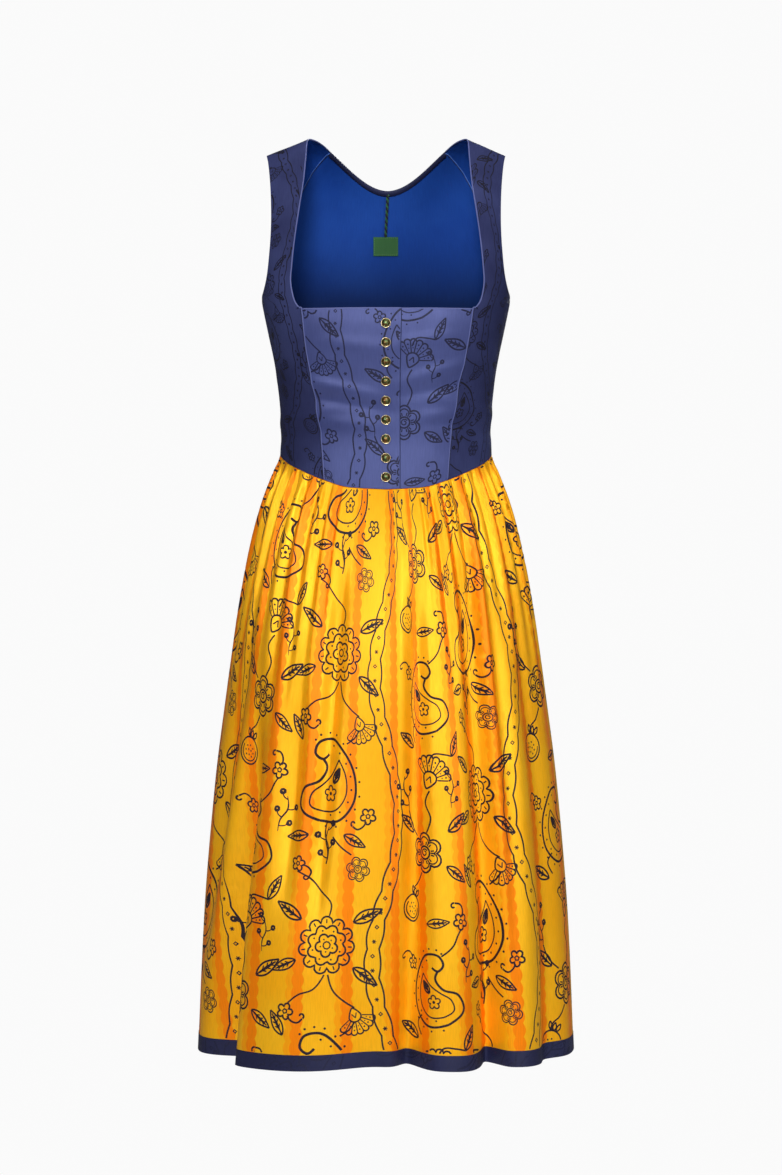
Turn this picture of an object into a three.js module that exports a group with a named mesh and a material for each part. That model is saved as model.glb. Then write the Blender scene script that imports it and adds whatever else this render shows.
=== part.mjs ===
// A sleeveless dirndl in its worn form: a fitted bodice with wide straps and a
// row of dome buttons, and a gathered skirt with a bound hem. Sizes are in
// millimetres, +Z is up, the front faces -Y and +X is to the right seen from
// the front. The origin lies at shoulder height, in the middle of the body.
import * as THREE from 'three';

// Driving dimensions
const WALL = 1.5;              // bodice cloth, with its interfacing
const LINING_WALL = 1.0;
const SKIRT_WALL = 1.4;
const LAYER_GAP = 0.3;         // between a cloth and its lining
const SEAM_GAP = 0.3;          // between neighbouring pieces at a seam
const WAIST_GAP = 0.7;         // between the bodice and the gathered skirt
const HEM_Z = -1134;
const HEM_BAND_DEPTH = 20;
const HEM_BAND_PROUD = 0.5;    // the band wraps the edge, so it stands proud
const NECK_FRONT_Z = -224.5;
const UNDERARM_Z = -203;
const LAP_X = 17;              // visible edge of the overlapping front
const UNDERLAP_X = -14;
const LAP_DEPTH = 2.4;         // how far the lower front lies under the upper
const BUTTON_COUNT = 9;
const BUTTON_RADIUS = 6;
const BUTTON_HEIGHT = 4;
const BUTTON_TOP_Z = -243;
const BUTTON_BOTTOM_Z = -428;
const LABEL = { left: -18.5, right: 13.5, top: -111, bottom: -135.5, wall: 0.9 };
const CORD_RADIUS = 2.1;
const CORD_CLEAR = 0.4;          // more than the label's, over the bend at the neck

const NAVY = 0x454b78;
const LINING_BLUE = 0x22428a;
const GOLD = 0xffb733;
const BRASS = 0x8d7440;
const GREEN = 0x355f35;

const degrees = THREE.MathUtils.degToRad;

// Sections of the body from the waist up. The front and back columns are the
// depths before and behind the origin, and power squares the section off.
const torsoSections = [
  { level: -443, half: 132, front: 98, back: 90, power: 2.25 },
  { level: -396, half: 132, front: 98, back: 89, power: 2.25 },
  { level: -363, half: 131, front: 100, back: 88, power: 2.3 },
  { level: -303, half: 136, front: 109, back: 92, power: 2.4 },
  { level: -273, half: 141, front: 114, back: 94, power: 2.5 },
  { level: -243, half: 147.5, front: 116, back: 96, power: 2.6 },
  { level: -203, half: 155, front: 112, back: 99, power: 2.7 },
  { level: -149, half: 160, front: 97, back: 101, power: 2.8 },
  { level: -104, half: 162, front: 78, back: 99, power: 2.8 },
  { level: -71, half: 163, front: 59, back: 93, power: 2.8 },
  { level: -53, half: 164, front: 48, back: 87, power: 2.8 },
  { level: -32, half: 165, front: 34, back: 74, power: 2.8 },
  { level: -10, half: 166, front: 17, back: 47, power: 2.8 },
  { level: -3, half: 166, front: 9, back: 24, power: 2.8 },
  { level: 0, half: 166, front: 0, back: 0, power: 2.8 },
];

// Sections of the skirt from the waist seam, at 0, down to the hem, at 1.
const skirtSections = [
  { down: 0, half: 132, front: 98, back: 90, power: 2.25 },
  { down: 0.02, half: 136.5, front: 103, back: 95, power: 2.25 },
  { down: 0.077, half: 152.5, front: 116, back: 112, power: 2.2 },
  { down: 0.145, half: 166, front: 127, back: 127, power: 2.2 },
  { down: 0.28, half: 186, front: 144, back: 147, power: 2.15 },
  { down: 0.42, half: 201, front: 159, back: 163, power: 2.1 },
  { down: 0.55, half: 213, front: 171, back: 176, power: 2.1 },
  { down: 0.79, half: 227.5, front: 190, back: 193, power: 2.1 },
  { down: 1, half: 234, front: 201, back: 203, power: 2.1 },
];

// Folds of the skirt, a row for each trough. Angles are in degrees from the
// middle of the front towards +X, at the waist and at the hem. The half-widths
// are in degrees and the depths in millimetres. Lean slides the floor of the
// trough, in degrees, so that the next fold overlaps it. Start and end say how
// far down the skirt the trough opens and fades (an end past 1 reaches the hem).
const skirtFolds = [
  { name: 'middle', top: -4, hem: -4, halfTop: 20, halfHem: 25, depthTop: 2, depthHem: 34, lean: 0, start: 0.25, end: 2 },
  { name: 'right of middle', top: 17, hem: 9, halfTop: 7, halfHem: 8, depthTop: 13, depthHem: 40, lean: 0, start: 0.03, end: 2 },
  { name: 'right deep', top: 43, hem: 37, halfTop: 7, halfHem: 9, depthTop: 22, depthHem: 56, lean: 7, start: 0.01, end: 2 },
  { name: 'right soft', top: 56, hem: 46, halfTop: 5, halfHem: 6, depthTop: 9, depthHem: 6, lean: 0, start: 0.03, end: 2 },
  { name: 'right side', top: 68, hem: 64, halfTop: 8, halfHem: 10, depthTop: 7, depthHem: 16, lean: 0, start: 0.1, end: 2 },
  { name: 'left of middle', top: -22, hem: -28, halfTop: 6, halfHem: 6, depthTop: 15, depthHem: 12, lean: 0, start: 0.05, end: 0.85 },
  { name: 'left short', top: -38, hem: -38, halfTop: 6, halfHem: 6, depthTop: 14, depthHem: 12, lean: 0, start: 0.24, end: 0.78 },
  { name: 'left deep', top: -50, hem: -66, halfTop: 6, halfHem: 11, depthTop: 12, depthHem: 58, lean: 5, start: 0.3, end: 2 },
  { name: 'left shadow', top: -58, hem: -84, halfTop: 6, halfHem: 8, depthTop: 13, depthHem: 14, lean: 0, start: 0.22, end: 0.9 },
  { name: 'back 1', top: 100, hem: 105, halfTop: 8, halfHem: 13, depthTop: 10, depthHem: 42, lean: 0, start: 0.2, end: 2 },
  { name: 'back 2', top: 122, hem: 120, halfTop: 6, halfHem: 7, depthTop: 14, depthHem: 16, lean: 0, start: 0.06, end: 0.9 },
  { name: 'back 3', top: 139, hem: 143, halfTop: 8, halfHem: 14, depthTop: 12, depthHem: 52, lean: 4, start: 0.12, end: 2 },
  { name: 'back 4', top: 159, hem: 158, halfTop: 7, halfHem: 6, depthTop: 13, depthHem: 14, lean: 0, start: 0.05, end: 0.8 },
  { name: 'back 5', top: 178, hem: 176, halfTop: 8, halfHem: 13, depthTop: 12, depthHem: 46, lean: -4, start: 0.1, end: 2 },
  { name: 'back 6', top: 198, hem: 201, halfTop: 6, halfHem: 6, depthTop: 13, depthHem: 14, lean: 0, start: 0.06, end: 0.8 },
  { name: 'back 7', top: 216, hem: 214, halfTop: 8, halfHem: 14, depthTop: 12, depthHem: 50, lean: -4, start: 0.15, end: 2 },
  { name: 'back 8', top: 238, hem: 241, halfTop: 6, halfHem: 8, depthTop: 12, depthHem: 20, lean: 0, start: 0.08, end: 0.95 },
  { name: 'back 9', top: 257, hem: 256, halfTop: 7, halfHem: 11, depthTop: 8, depthHem: 34, lean: 3, start: 0.3, end: 2 },
];

// Gathers round the waist, a row for each stretch between two angles. The flat
// stretch in the middle of the front has columns of cloth but no gathers.
const gatherStretches = [
  { from: -90, to: -27, gathers: 9, columns: 36 },
  { from: -27, to: 20, gathers: 0, columns: 14 },
  { from: 20, to: 90, gathers: 10, columns: 40 },
  { from: 90, to: 270, gathers: 25, columns: 100 },
];
const GATHER_HEIGHT = 4.4;
const GATHER_FADE = 0.5;
const skirtRows = [0, 0.02, 0.05, 0.105, 0.19, 0.32, 0.48, 0.66, 0.83];

// Height of the waist seam at angles from the middle of the front.
const waistSeam = [
  { angle: 0, z: -443 },
  { angle: 25, z: -440.5 },
  { angle: 42, z: -431 },
  { angle: 62, z: -415 },
  { angle: 90, z: -396 },
  { angle: 130, z: -392 },
  { angle: 180, z: -391 },
];

// Reads a column of a table at any place, with a smooth curve that never
// overshoots between rows.
function column(rows, key, value) {
  const at = rows.map((row) => row[key]);
  const y = rows.map((row) => row[value]);
  const slope = [];
  for (let i = 0; i + 1 < at.length; i += 1) {
    slope.push((y[i + 1] - y[i]) / (at[i + 1] - at[i]));
  }
  const tangent = at.map((_, i) => {
    if (i === 0) return slope[0];
    if (i === at.length - 1) return slope[i - 1];
    if (slope[i - 1] * slope[i] <= 0) return 0;
    return 2 / (1 / slope[i - 1] + 1 / slope[i]);
  });
  return (place) => {
    if (place <= at[0]) return y[0];
    if (place >= at[at.length - 1]) return y[y.length - 1];
    let i = 0;
    while (place > at[i + 1]) i += 1;
    const step = at[i + 1] - at[i];
    const t = (place - at[i]) / step;
    const rise = t * t * (3 - 2 * t);
    const lead = t * (1 - t) * (1 - t) * tangent[i];
    const tail = t * t * (1 - t) * tangent[i + 1];
    return y[i] * (1 - rise) + y[i + 1] * rise + step * (lead - tail);
  };
}

function columns(rows, key, values) {
  return Object.fromEntries(values.map((value) => [value, column(rows, key, value)]));
}

const sectionSizes = ['half', 'front', 'back', 'power'];
// Depths near the shoulder grow with the root of the drop, so that the cloth
// rolls over the top without a crease.
const byRoot = torsoSections
  .map((row) => ({ ...row, root: Math.sqrt(-row.level) }))
  .sort((a, b) => a.root - b.root);
const torso = columns(byRoot, 'root', sectionSizes);
const skirt = columns(skirtSections, 'down', sectionSizes);
const seamHeight = column(waistSeam, 'angle', 'z');

const smooth = (low, high, x) => THREE.MathUtils.smoothstep(x, low, high);
const mix = THREE.MathUtils.lerp;

function ringPoint(angle, half, depth, power) {
  const s = Math.sin(degrees(angle));
  const c = Math.cos(degrees(angle));
  const radius = (Math.abs(s) / half) ** power + (Math.abs(c) / depth) ** power;
  const r = radius ** (-1 / power);
  return new THREE.Vector2(r * s, -r * c);
}

// The shoulder slopes down towards the armhole.
const SHOULDER = { inner: 97, outer: 149, drop: 22 };
function shoulderDrop(x, level) {
  const across = Math.abs(x) - SHOULDER.inner;
  const width = SHOULDER.outer - SHOULDER.inner;
  const out = Math.min(Math.max(across / width, 0), 1.2);
  return SHOULDER.drop * out * Math.max(0, 1 + level / 150);
}

// A point of the body at an angle and a level.
function torsoPoint(angle, level) {
  const root = Math.sqrt(-level);
  const depth = Math.cos(degrees(angle)) >= 0 ? torso.front(root) : torso.back(root);
  const flat = ringPoint(angle, torso.half(root), depth, torso.power(root));
  return new THREE.Vector3(flat.x, flat.y, level - shoulderDrop(flat.x, level));
}

// A point of the body at a width and a distance over the shoulder, negative in
// front and positive behind. The distance is the root of the drop.
function strapPoint(x, over) {
  const root = Math.abs(over);
  const depth = over < 0 ? -torso.front(root) : torso.back(root);
  const power = torso.power(root);
  const share = 1 - (Math.abs(x) / torso.half(root)) ** power;
  const level = -root * root;
  const y = depth * share ** (1 / power);
  return new THREE.Vector3(x, y, level - shoulderDrop(x, level));
}

function surfaceNormal(point, a, b) {
  const step = 0.02;
  const alongA = point(a + step, b).sub(point(a - step, b));
  const alongB = point(a, b + step).sub(point(a, b - step));
  return alongA.cross(alongB).normalize();
}

// A closed wall between an outer and an inner grid of points, both given as
// rows from bottom to top, each row running towards +X seen from outside.
function wallGeometry(outer, inner) {
  const rows = outer.length;
  const across = outer[0].length;
  const positions = [];
  for (const grid of [outer, inner]) {
    for (const row of grid) {
      for (const p of row) positions.push(p.x, p.y, p.z);
    }
  }
  const index = [];
  const back = rows * across;
  const at = (j, i) => j * across + i;
  const quad = (a, b, c, d) => index.push(a, b, c, a, c, d);
  for (let j = 0; j + 1 < rows; j += 1) {
    for (let i = 0; i + 1 < across; i += 1) {
      quad(at(j, i), at(j, i + 1), at(j + 1, i + 1), at(j + 1, i));
      quad(back + at(j, i), back + at(j + 1, i), back + at(j + 1, i + 1), back + at(j, i + 1));
    }
  }
  const rim = (a, b) => quad(a, back + a, back + b, b);
  for (let i = 0; i + 1 < across; i += 1) {
    rim(at(0, i), at(0, i + 1));
    rim(at(rows - 1, i + 1), at(rows - 1, i));
  }
  for (let j = 0; j + 1 < rows; j += 1) {
    rim(at(j + 1, 0), at(j, 0));
    rim(at(j, across - 1), at(j + 1, across - 1));
  }
  const geometry = new THREE.BufferGeometry();
  geometry.setAttribute('position', new THREE.Float32BufferAttribute(positions, 3));
  geometry.setIndex(index);
  return geometry;
}

const materials = {
  bodice: new THREE.MeshStandardMaterial({ color: NAVY, roughness: 0.45, metalness: 0 }),
  lining: new THREE.MeshStandardMaterial({ color: LINING_BLUE, roughness: 0.5, metalness: 0 }),
  skirt: new THREE.MeshStandardMaterial({ color: GOLD, roughness: 0.45, metalness: 0 }),
  button: new THREE.MeshStandardMaterial({ color: BRASS, roughness: 0.35, metalness: 1 }),
  label: new THREE.MeshStandardMaterial({ color: GREEN, roughness: 0.8, metalness: 0 }),
};

const dirndl = new THREE.Group();
dirndl.name = 'dirndl';

function addNode(name, geometry, material) {
  const mesh = new THREE.Mesh(geometry, material);
  mesh.name = name;
  dirndl.add(mesh);
  return mesh;
}

// A piece of the bodice is a grid of points with their outward directions.
// Rows and columns are pulled in at its edges, so that seams stay open.
function pullEdges(grid) {
  const pull = (edge, next) => {
    const way = next.point.clone().sub(edge.point).setLength(SEAM_GAP / 2);
    edge.point.add(way);
  };
  for (const row of grid) {
    pull(row[0], row[1]);
    pull(row[row.length - 1], row[row.length - 2]);
  }
}

function mirrored(grid) {
  const flip = (v) => new THREE.Vector3(-v.x, v.y, v.z);
  return grid.map((row) => row
    .map((cell) => ({ point: flip(cell.point), out: flip(cell.out) }))
    .reverse());
}

function moved(grid, distance) {
  return grid.map((row) => row.map((cell) => cell.point.clone().addScaledVector(cell.out, distance)));
}

// The neck edges hang a little to one side in the worn dress.
const NECK_SHIFT = 2;
function shifted(cell) {
  const near = 1 - smooth(112, 145, Math.abs(cell.point.x));
  const point = cell.point.clone();
  point.x += NECK_SHIFT * near * smooth(-320, -200, cell.point.z);
  return { point, out: cell.out };
}

function addPiece(name, cells, lined) {
  const grid = cells.map((row) => row.map(shifted));
  addNode(name, wallGeometry(moved(grid, 0), moved(grid, -WALL)), materials.bodice);
  if (!lined) return;
  const depth = WALL + LAYER_GAP;
  const lining = wallGeometry(moved(grid, -depth), moved(grid, -depth - LINING_WALL));
  addNode(`lining_${name}`, lining, materials.lining);
}

const torsoCell = (angle, level) => ({
  point: torsoPoint(angle, level),
  out: surfaceNormal(torsoPoint, angle, level),
});
const strapCell = (x, over) => ({
  point: strapPoint(x, over),
  out: surfaceNormal(strapPoint, x, over),
});

// The angle at which the front or the back of the body has a given width.
function angleAt(x, level, behind) {
  const root = Math.sqrt(-level);
  const p = strapPoint(x, behind ? root : -root);
  return THREE.MathUtils.radToDeg(Math.atan2(p.x, -p.y));
}

// Rows of a piece between two edges, each edge a function from a share of the
// height to an angle and a level.
function bodyGrid(leftEdge, rightEdge, rowCount, columnCount) {
  const grid = [];
  for (let j = 0; j <= rowCount; j += 1) {
    const left = leftEdge(j / rowCount);
    const right = rightEdge(j / rowCount);
    const row = [];
    for (let i = 0; i <= columnCount; i += 1) {
      const t = i / columnCount;
      row.push(torsoCell(mix(left.angle, right.angle, t), mix(left.level, right.level, t)));
    }
    grid.push(row);
  }
  return grid;
}

const seamLevel = (angle) => seamHeight(Math.abs(angle > 180 ? angle - 360 : angle)) + WAIST_GAP / 2;

// Princess seams of the front, by width and level.
const PRINCESS = { waistX: 74.5, topX: 104, topLevel: -224 };
const princessX = column([
  { level: -440, x: PRINCESS.waistX },
  { level: -380, x: 79 },
  { level: -320, x: 88 },
  { level: -270, x: 98 },
  { level: PRINCESS.topLevel, x: PRINCESS.topX },
], 'level', 'x');

function princessEdge(share) {
  const waist = seamLevel(angleAt(PRINCESS.waistX, -430, false));
  const level = mix(waist, PRINCESS.topLevel, share);
  return { angle: angleAt(princessX(level), level, false), level };
}

// The two centre fronts, from the princess seam to the overlap.
function frontGrid(innerX, outerSide) {
  const rowCount = 7;
  const columnCount = 8;
  const grid = [];
  for (let j = 0; j <= rowCount; j += 1) {
    const share = j / rowCount;
    const seam = princessEdge(share);
    const innerAngle = (level) => angleAt(innerX, level, false);
    const row = [];
    for (let i = 0; i <= columnCount; i += 1) {
      const t = i / columnCount;
      const top = mix(PRINCESS.topLevel, NECK_FRONT_Z, smooth(0, 0.25, t));
      const roughAngle = mix(outerSide * seam.angle, innerAngle(-300), t);
      const level = mix(seamLevel(roughAngle), top, share);
      const angle = mix(outerSide * seam.angle, innerAngle(level), t);
      row.push(torsoCell(angle, level));
    }
    grid.push(row);
  }
  return grid;
}

const frontRight = frontGrid(LAP_X, -1);
pullEdges(frontRight);
addPiece('front_right', frontRight, false);

const frontLeft = frontGrid(UNDERLAP_X, 1).map((row) => row.reverse());
pullEdges(frontLeft);
for (const row of frontLeft) {
  for (const cell of row) {
    const under = 1 - smooth(LAP_X + 6, LAP_X + 45, cell.point.x);
    cell.point.addScaledVector(cell.out, -LAP_DEPTH * under);
  }
}
addPiece('front_left', frontLeft, false);

// The side front runs from the waist up to the underarm, and its strap goes on
// over the shoulder to a seam behind. Rows of the strap give the widths of the
// neck edge and the armhole edge at distances over the shoulder.
const strapRows = [
  { inner: 113.5, innerOver: -14.6, outer: 151, outerOver: -14.0 },
  { inner: 117.6, innerOver: -14.0, outer: 147, outerOver: -13.5 },
  { inner: 116.8, innerOver: -12.9, outer: 143, outerOver: -12.2 },
  { inner: 113.5, innerOver: -11.5, outer: 141.5, outerOver: -10.7 },
  { inner: 109, innerOver: -9.8, outer: 142, outerOver: -8.8 },
  { inner: 104, innerOver: -7.6, outer: 144, outerOver: -6.5 },
  { inner: 101.5, innerOver: -4.6, outer: 147, outerOver: -3.6 },
  { inner: 100.6, innerOver: -2.0, outer: 149, outerOver: -1.2 },
  { inner: 98.5, innerOver: 0.3, outer: 148.8, outerOver: 1.3 },
  { inner: 90, innerOver: 1.1, outer: 146, outerOver: 4.0 },
  { inner: 81.5, innerOver: 2.1, outer: 141.5, outerOver: 7.2 },
  { inner: 73.5, innerOver: 3.1, outer: 137, outerOver: 10.2 },
];
const SIDE_ANGLE = 92;

const sideFront = [];
const sideLower = 6;
const sideColumns = 6;
for (let j = 0; j <= sideLower; j += 1) {
  const share = j / sideLower;
  const seam = princessEdge(share);
  const row = [];
  for (let i = 0; i <= sideColumns; i += 1) {
    const t = i / sideColumns;
    const angle = mix(seam.angle, SIDE_ANGLE, t);
    const top = mix(PRINCESS.topLevel, UNDERARM_Z, t);
    row.push(torsoCell(angle, mix(seamLevel(angle), top, share)));
  }
  sideFront.push(row);
}
// One row curves round from the neck's corner to the front of the armhole.
const CORNER_ROW = { innerX: 109, innerLevel: -220.5, outerAngle: 78, outerLevel: -200.5 };
const cornerAngle = angleAt(CORNER_ROW.innerX, CORNER_ROW.innerLevel, false);
const cornerRow = [];
for (let i = 0; i <= sideColumns; i += 1) {
  const t = i / sideColumns;
  const level = mix(CORNER_ROW.innerLevel, CORNER_ROW.outerLevel, t);
  cornerRow.push(torsoCell(mix(cornerAngle, CORNER_ROW.outerAngle, t), level));
}
sideFront.push(cornerRow);
for (const line of strapRows) {
  const row = [];
  for (let i = 0; i <= sideColumns; i += 1) {
    const t = i / sideColumns;
    row.push(strapCell(mix(line.inner, line.outer, t), mix(line.innerOver, line.outerOver, t)));
  }
  sideFront.push(row);
}
pullEdges(sideFront);
addPiece('side_front_left', sideFront, true);
addPiece('side_front_right', mirrored(sideFront), true);

// The back is cut in three, with curved seams that run into the armholes.
const BACK_SEAM = { waistAngle: 150, topX: 138, topLevel: -150 };
const backSeamTop = angleAt(BACK_SEAM.topX, BACK_SEAM.topLevel, true);
const backSeam = (share) => ({
  angle: mix(BACK_SEAM.waistAngle, backSeamTop, share ** 1.7),
  level: mix(seamLevel(BACK_SEAM.waistAngle), BACK_SEAM.topLevel, share),
});
const sideSeam = (share) => ({
  angle: SIDE_ANGLE,
  level: mix(seamLevel(SIDE_ANGLE), UNDERARM_Z, share),
});
const sideBack = bodyGrid(sideSeam, backSeam, 6, 5);
sideBack[0].forEach((cell, i) => {
  const angle = mix(SIDE_ANGLE, BACK_SEAM.waistAngle, i / 5);
  cell.point.copy(torsoPoint(angle, seamLevel(angle)));
});
pullEdges(sideBack);
addPiece('side_back_left', sideBack, true);
addPiece('side_back_right', mirrored(sideBack), true);

// The centre back rises from the waist to the back seams' tops, and then to the
// neck and to the strap seams, so its upper rows bend up at both ends.
const backRows = [
  { edge: 137.4, edgeOver: 11.6, middleOver: 10.4 },
  { edge: 136.8, edgeOver: 10.9, middleOver: 8.8 },
  { edge: 137, edgeOver: 10.2, middleOver: 7.35 },
];
const centreBack = [];
const backLower = 6;
const backColumns = 24;
for (let j = 0; j <= backLower; j += 1) {
  const share = j / backLower;
  const seam = backSeam(share);
  const row = [];
  for (let i = 0; i <= backColumns; i += 1) {
    const angle = mix(seam.angle, 360 - seam.angle, i / backColumns);
    const bottom = seamLevel(angle);
    row.push(torsoCell(angle, mix(bottom, BACK_SEAM.topLevel, share)));
  }
  centreBack.push(row);
}
const neckCorner = { x: 73.5, over: 3.1 };
backRows.forEach((line, j) => {
  const last = j === backRows.length - 1;
  const row = [];
  for (let i = 0; i <= backColumns; i += 1) {
    const side = 1 - (2 * i) / backColumns;
    const far = Math.abs(side);
    const neck = far < 0.5;
    const t = neck ? far / 0.5 : (far - 0.5) / 0.5;
    const rise = last ? neckCorner.over : mix(neckCorner.over, line.middleOver, 0.75 - 0.28 * j);
    const over = neck ? mix(line.middleOver, rise, t ** 1.9) : mix(rise, line.edgeOver, t);
    const turn = mix(neckCorner.x, 95, last ? 0 : 0.5 / (j + 1));
    const x = neck ? mix(0, turn, t) : mix(turn, line.edge, t);
    row.push(strapCell(Math.sign(side) * x, over));
  }
  // Behind, a row that runs towards +X seen from outside goes from the left to
  // the right of the wearer's back, which is from +X to -X here.
  centreBack.push(row);
});
pullEdges(centreBack);
const topRow = centreBack[centreBack.length - 1];
const underRow = centreBack[centreBack.length - 2];
topRow.forEach((cell, i) => {
  cell.point.add(underRow[i].point.clone().sub(cell.point).setLength(SEAM_GAP));
});
addPiece('centre_back', centreBack, true);

// Buttons sit on the overlapping front, in one line at its middle.
const buttonProfile = [
  new THREE.Vector2(0, 0),
  new THREE.Vector2(BUTTON_RADIUS * 0.82, 0),
  new THREE.Vector2(BUTTON_RADIUS, BUTTON_HEIGHT * 0.25),
  new THREE.Vector2(BUTTON_RADIUS * 0.9, BUTTON_HEIGHT * 0.55),
  new THREE.Vector2(BUTTON_RADIUS * 0.55, BUTTON_HEIGHT * 0.9),
  new THREE.Vector2(0, BUTTON_HEIGHT),
];
const BUTTON_SIDES = 12;
const BUTTON_LIFT = 0.3;
for (let k = 0; k < BUTTON_COUNT; k += 1) {
  const level = mix(BUTTON_TOP_Z, BUTTON_BOTTOM_Z, k / (BUTTON_COUNT - 1));
  const cell = torsoCell(0, level);
  const geometry = new THREE.LatheGeometry(buttonProfile, BUTTON_SIDES);
  const button = addNode(`button_${k + 1}`, geometry, materials.button);
  button.quaternion.setFromUnitVectors(new THREE.Vector3(0, 1, 0), cell.out);
  button.position.copy(cell.point).addScaledVector(cell.out, BUTTON_LIFT);
}

// The label lies on the lining of the back, and its cord hangs from the neck.
const INNER_FACE = WALL + LAYER_GAP + LINING_WALL;
const ON_LINING = INNER_FACE + 0.7;
const labelGrid = [];
for (let j = 0; j <= 2; j += 1) {
  const row = [];
  for (let i = 0; i <= 4; i += 1) {
    const x = mix(LABEL.right, LABEL.left, i / 4);
    row.push(shifted(strapCell(x, Math.sqrt(-mix(LABEL.bottom, LABEL.top, j / 2)))));
  }
  labelGrid.push(row);
}
const labelWall = wallGeometry(moved(labelGrid, -ON_LINING), moved(labelGrid, -ON_LINING - LABEL.wall));
addNode('label', labelWall, materials.label);

const cordRoute = [];
const CORD_TOP_Z = -57;
const CORD_STEPS = 10;
for (let k = 0; k <= CORD_STEPS; k += 1) {
  const level = mix(CORD_TOP_Z, LABEL.top + 0.4, k / CORD_STEPS);
  const cell = shifted(strapCell(mix(0.2, -2.8, k / CORD_STEPS), Math.sqrt(-level)));
  cordRoute.push(cell.point.addScaledVector(cell.out, -ON_LINING - CORD_CLEAR - CORD_RADIUS));
}
const cordSection = new THREE.Shape();
cordSection.absarc(0, 0, CORD_RADIUS, 0, 2 * Math.PI);
const cordGeometry = new THREE.ExtrudeGeometry(cordSection, {
  steps: CORD_STEPS,
  curveSegments: 4,
  extrudePath: new THREE.CatmullRomCurve3(cordRoute),
});
addNode('hanger_cord', cordGeometry, materials.label);

// The skirt. A point is given by an angle round the body and a share of the
// way down, and the phase counts gathers.
function foldShape(fold, angle, down) {
  const run = Math.min(Math.max(down, 0), 1);
  const centre = mix(fold.top, fold.hem, run);
  const half = mix(fold.halfTop, fold.halfHem, run);
  let away = angle - centre;
  away -= 360 * Math.round(away / 360);
  if (Math.abs(away) >= half * 1.6) return { depth: 0, slide: 0 };
  const opened = smooth(fold.start, fold.start + 0.3, down);
  const faded = 1 - smooth(fold.end - 0.25, fold.end, down);
  const bell = Math.exp(-2.2 * (away / half) ** 2) * (1 - (away / (half * 1.6)) ** 2);
  const share = opened * faded * bell;
  return {
    depth: mix(fold.depthTop, fold.depthHem, run * run) * share,
    slide: fold.lean * run * run * share,
  };
}

function skirtBase(angle, down) {
  const behind = Math.cos(degrees(angle)) < 0;
  const depth = behind ? skirt.back(down) : skirt.front(down);
  return ringPoint(angle, skirt.half(down), depth, skirt.power(down));
}

function skirtPoint(angle, phase, gathered, down) {
  let push = 0;
  let turn = angle;
  for (const fold of skirtFolds) {
    const shape = foldShape(fold, angle, down);
    push -= shape.depth;
    turn += shape.slide;
  }
  const flat = skirtBase(turn, down);
  const step = 0.05;
  const along = skirtBase(turn + step, down).sub(skirtBase(turn - step, down)).normalize();
  const out = new THREE.Vector2(along.y, -along.x);
  const uneven = 0.78 + 0.22 * Math.sin(1.7 * phase + 0.6) * Math.cos(0.53 * phase);
  const swell = 0.22 + 0.78 * smooth(0, 0.03, down);
  const fade = 1 - smooth(0.05, GATHER_FADE, down);
  push += GATHER_HEIGHT * gathered * uneven * swell * fade * Math.cos(2 * Math.PI * phase);
  const turned = angle > 180 ? angle - 360 : angle;
  const top = seamHeight(Math.abs(turned)) - WAIST_GAP / 2;
  const lift = 3 * Math.cos(degrees(3 * turned)) * Math.exp(-((turned / 70) ** 2));
  const z = mix(top, HEM_Z + lift, down);
  return new THREE.Vector3(flat.x + out.x * push, flat.y + out.y * push, z);
}

// Columns of cloth round one half of the skirt.
function skirtColumns(stretches) {
  const list = [];
  let phase = 0;
  stretches.forEach((stretch, k) => {
    const first = k === 0 ? 0 : 1;
    for (let i = first; i <= stretch.columns; i += 1) {
      const share = i / stretch.columns;
      const angle = mix(stretch.from, stretch.to, share);
      const inside = Math.min(share, 1 - share) * stretch.gathers;
      const gathered = stretch.gathers === 0 ? 0 : smooth(-0.3, 1, inside);
      list.push({ angle, gathered, phase: phase + stretch.gathers * share });
    }
    phase += stretch.gathers;
  });
  return list;
}

function surfaceCells(points) {
  return points.map((row, j) => row.map((point, i) => {
    const left = row[Math.max(i - 1, 0)];
    const right = row[Math.min(i + 1, row.length - 1)];
    const below = points[Math.min(j + 1, points.length - 1)][i];
    const above = points[Math.max(j - 1, 0)][i];
    const along = right.clone().sub(left);
    const up = above.clone().sub(below);
    return { point: point.clone(), out: along.cross(up).normalize() };
  }));
}

const HEM_BAND_TOP = 1 - HEM_BAND_DEPTH / 738;
const HEM_BAND_GAP = SEAM_GAP / 738;

function addSkirtHalf(side, stretches) {
  const list = skirtColumns(stretches);
  const downs = [...skirtRows, HEM_BAND_TOP, HEM_BAND_TOP + HEM_BAND_GAP, 1];
  const points = downs.map((down) => list.map((c) => skirtPoint(c.angle, c.phase, c.gathered, down)));
  const cells = surfaceCells(points);
  pullEdges(cells);
  const cut = skirtRows.length + 1;
  const cloth = cells.slice(0, cut).reverse();
  const band = cells.slice(cut).reverse();
  addNode(`skirt_${side}`, wallGeometry(moved(cloth, 0), moved(cloth, -SKIRT_WALL)), materials.skirt);
  const outer = moved(band, HEM_BAND_PROUD);
  const inner = moved(band, -SKIRT_WALL - HEM_BAND_PROUD);
  addNode(`hem_band_${side}`, wallGeometry(outer, inner), materials.bodice);
}
addSkirtHalf('front', gatherStretches.slice(0, 3));
addSkirtHalf('back', gatherStretches.slice(3));

export default dirndl;
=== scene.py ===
"""The looks of a sleeveless dirndl in its worn form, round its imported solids.

Sizes are in millimetres until a mesh is made, which is in metres. The front
faces -Y, +X is to the right seen from the front, and +Z is up.
"""

import math

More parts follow.
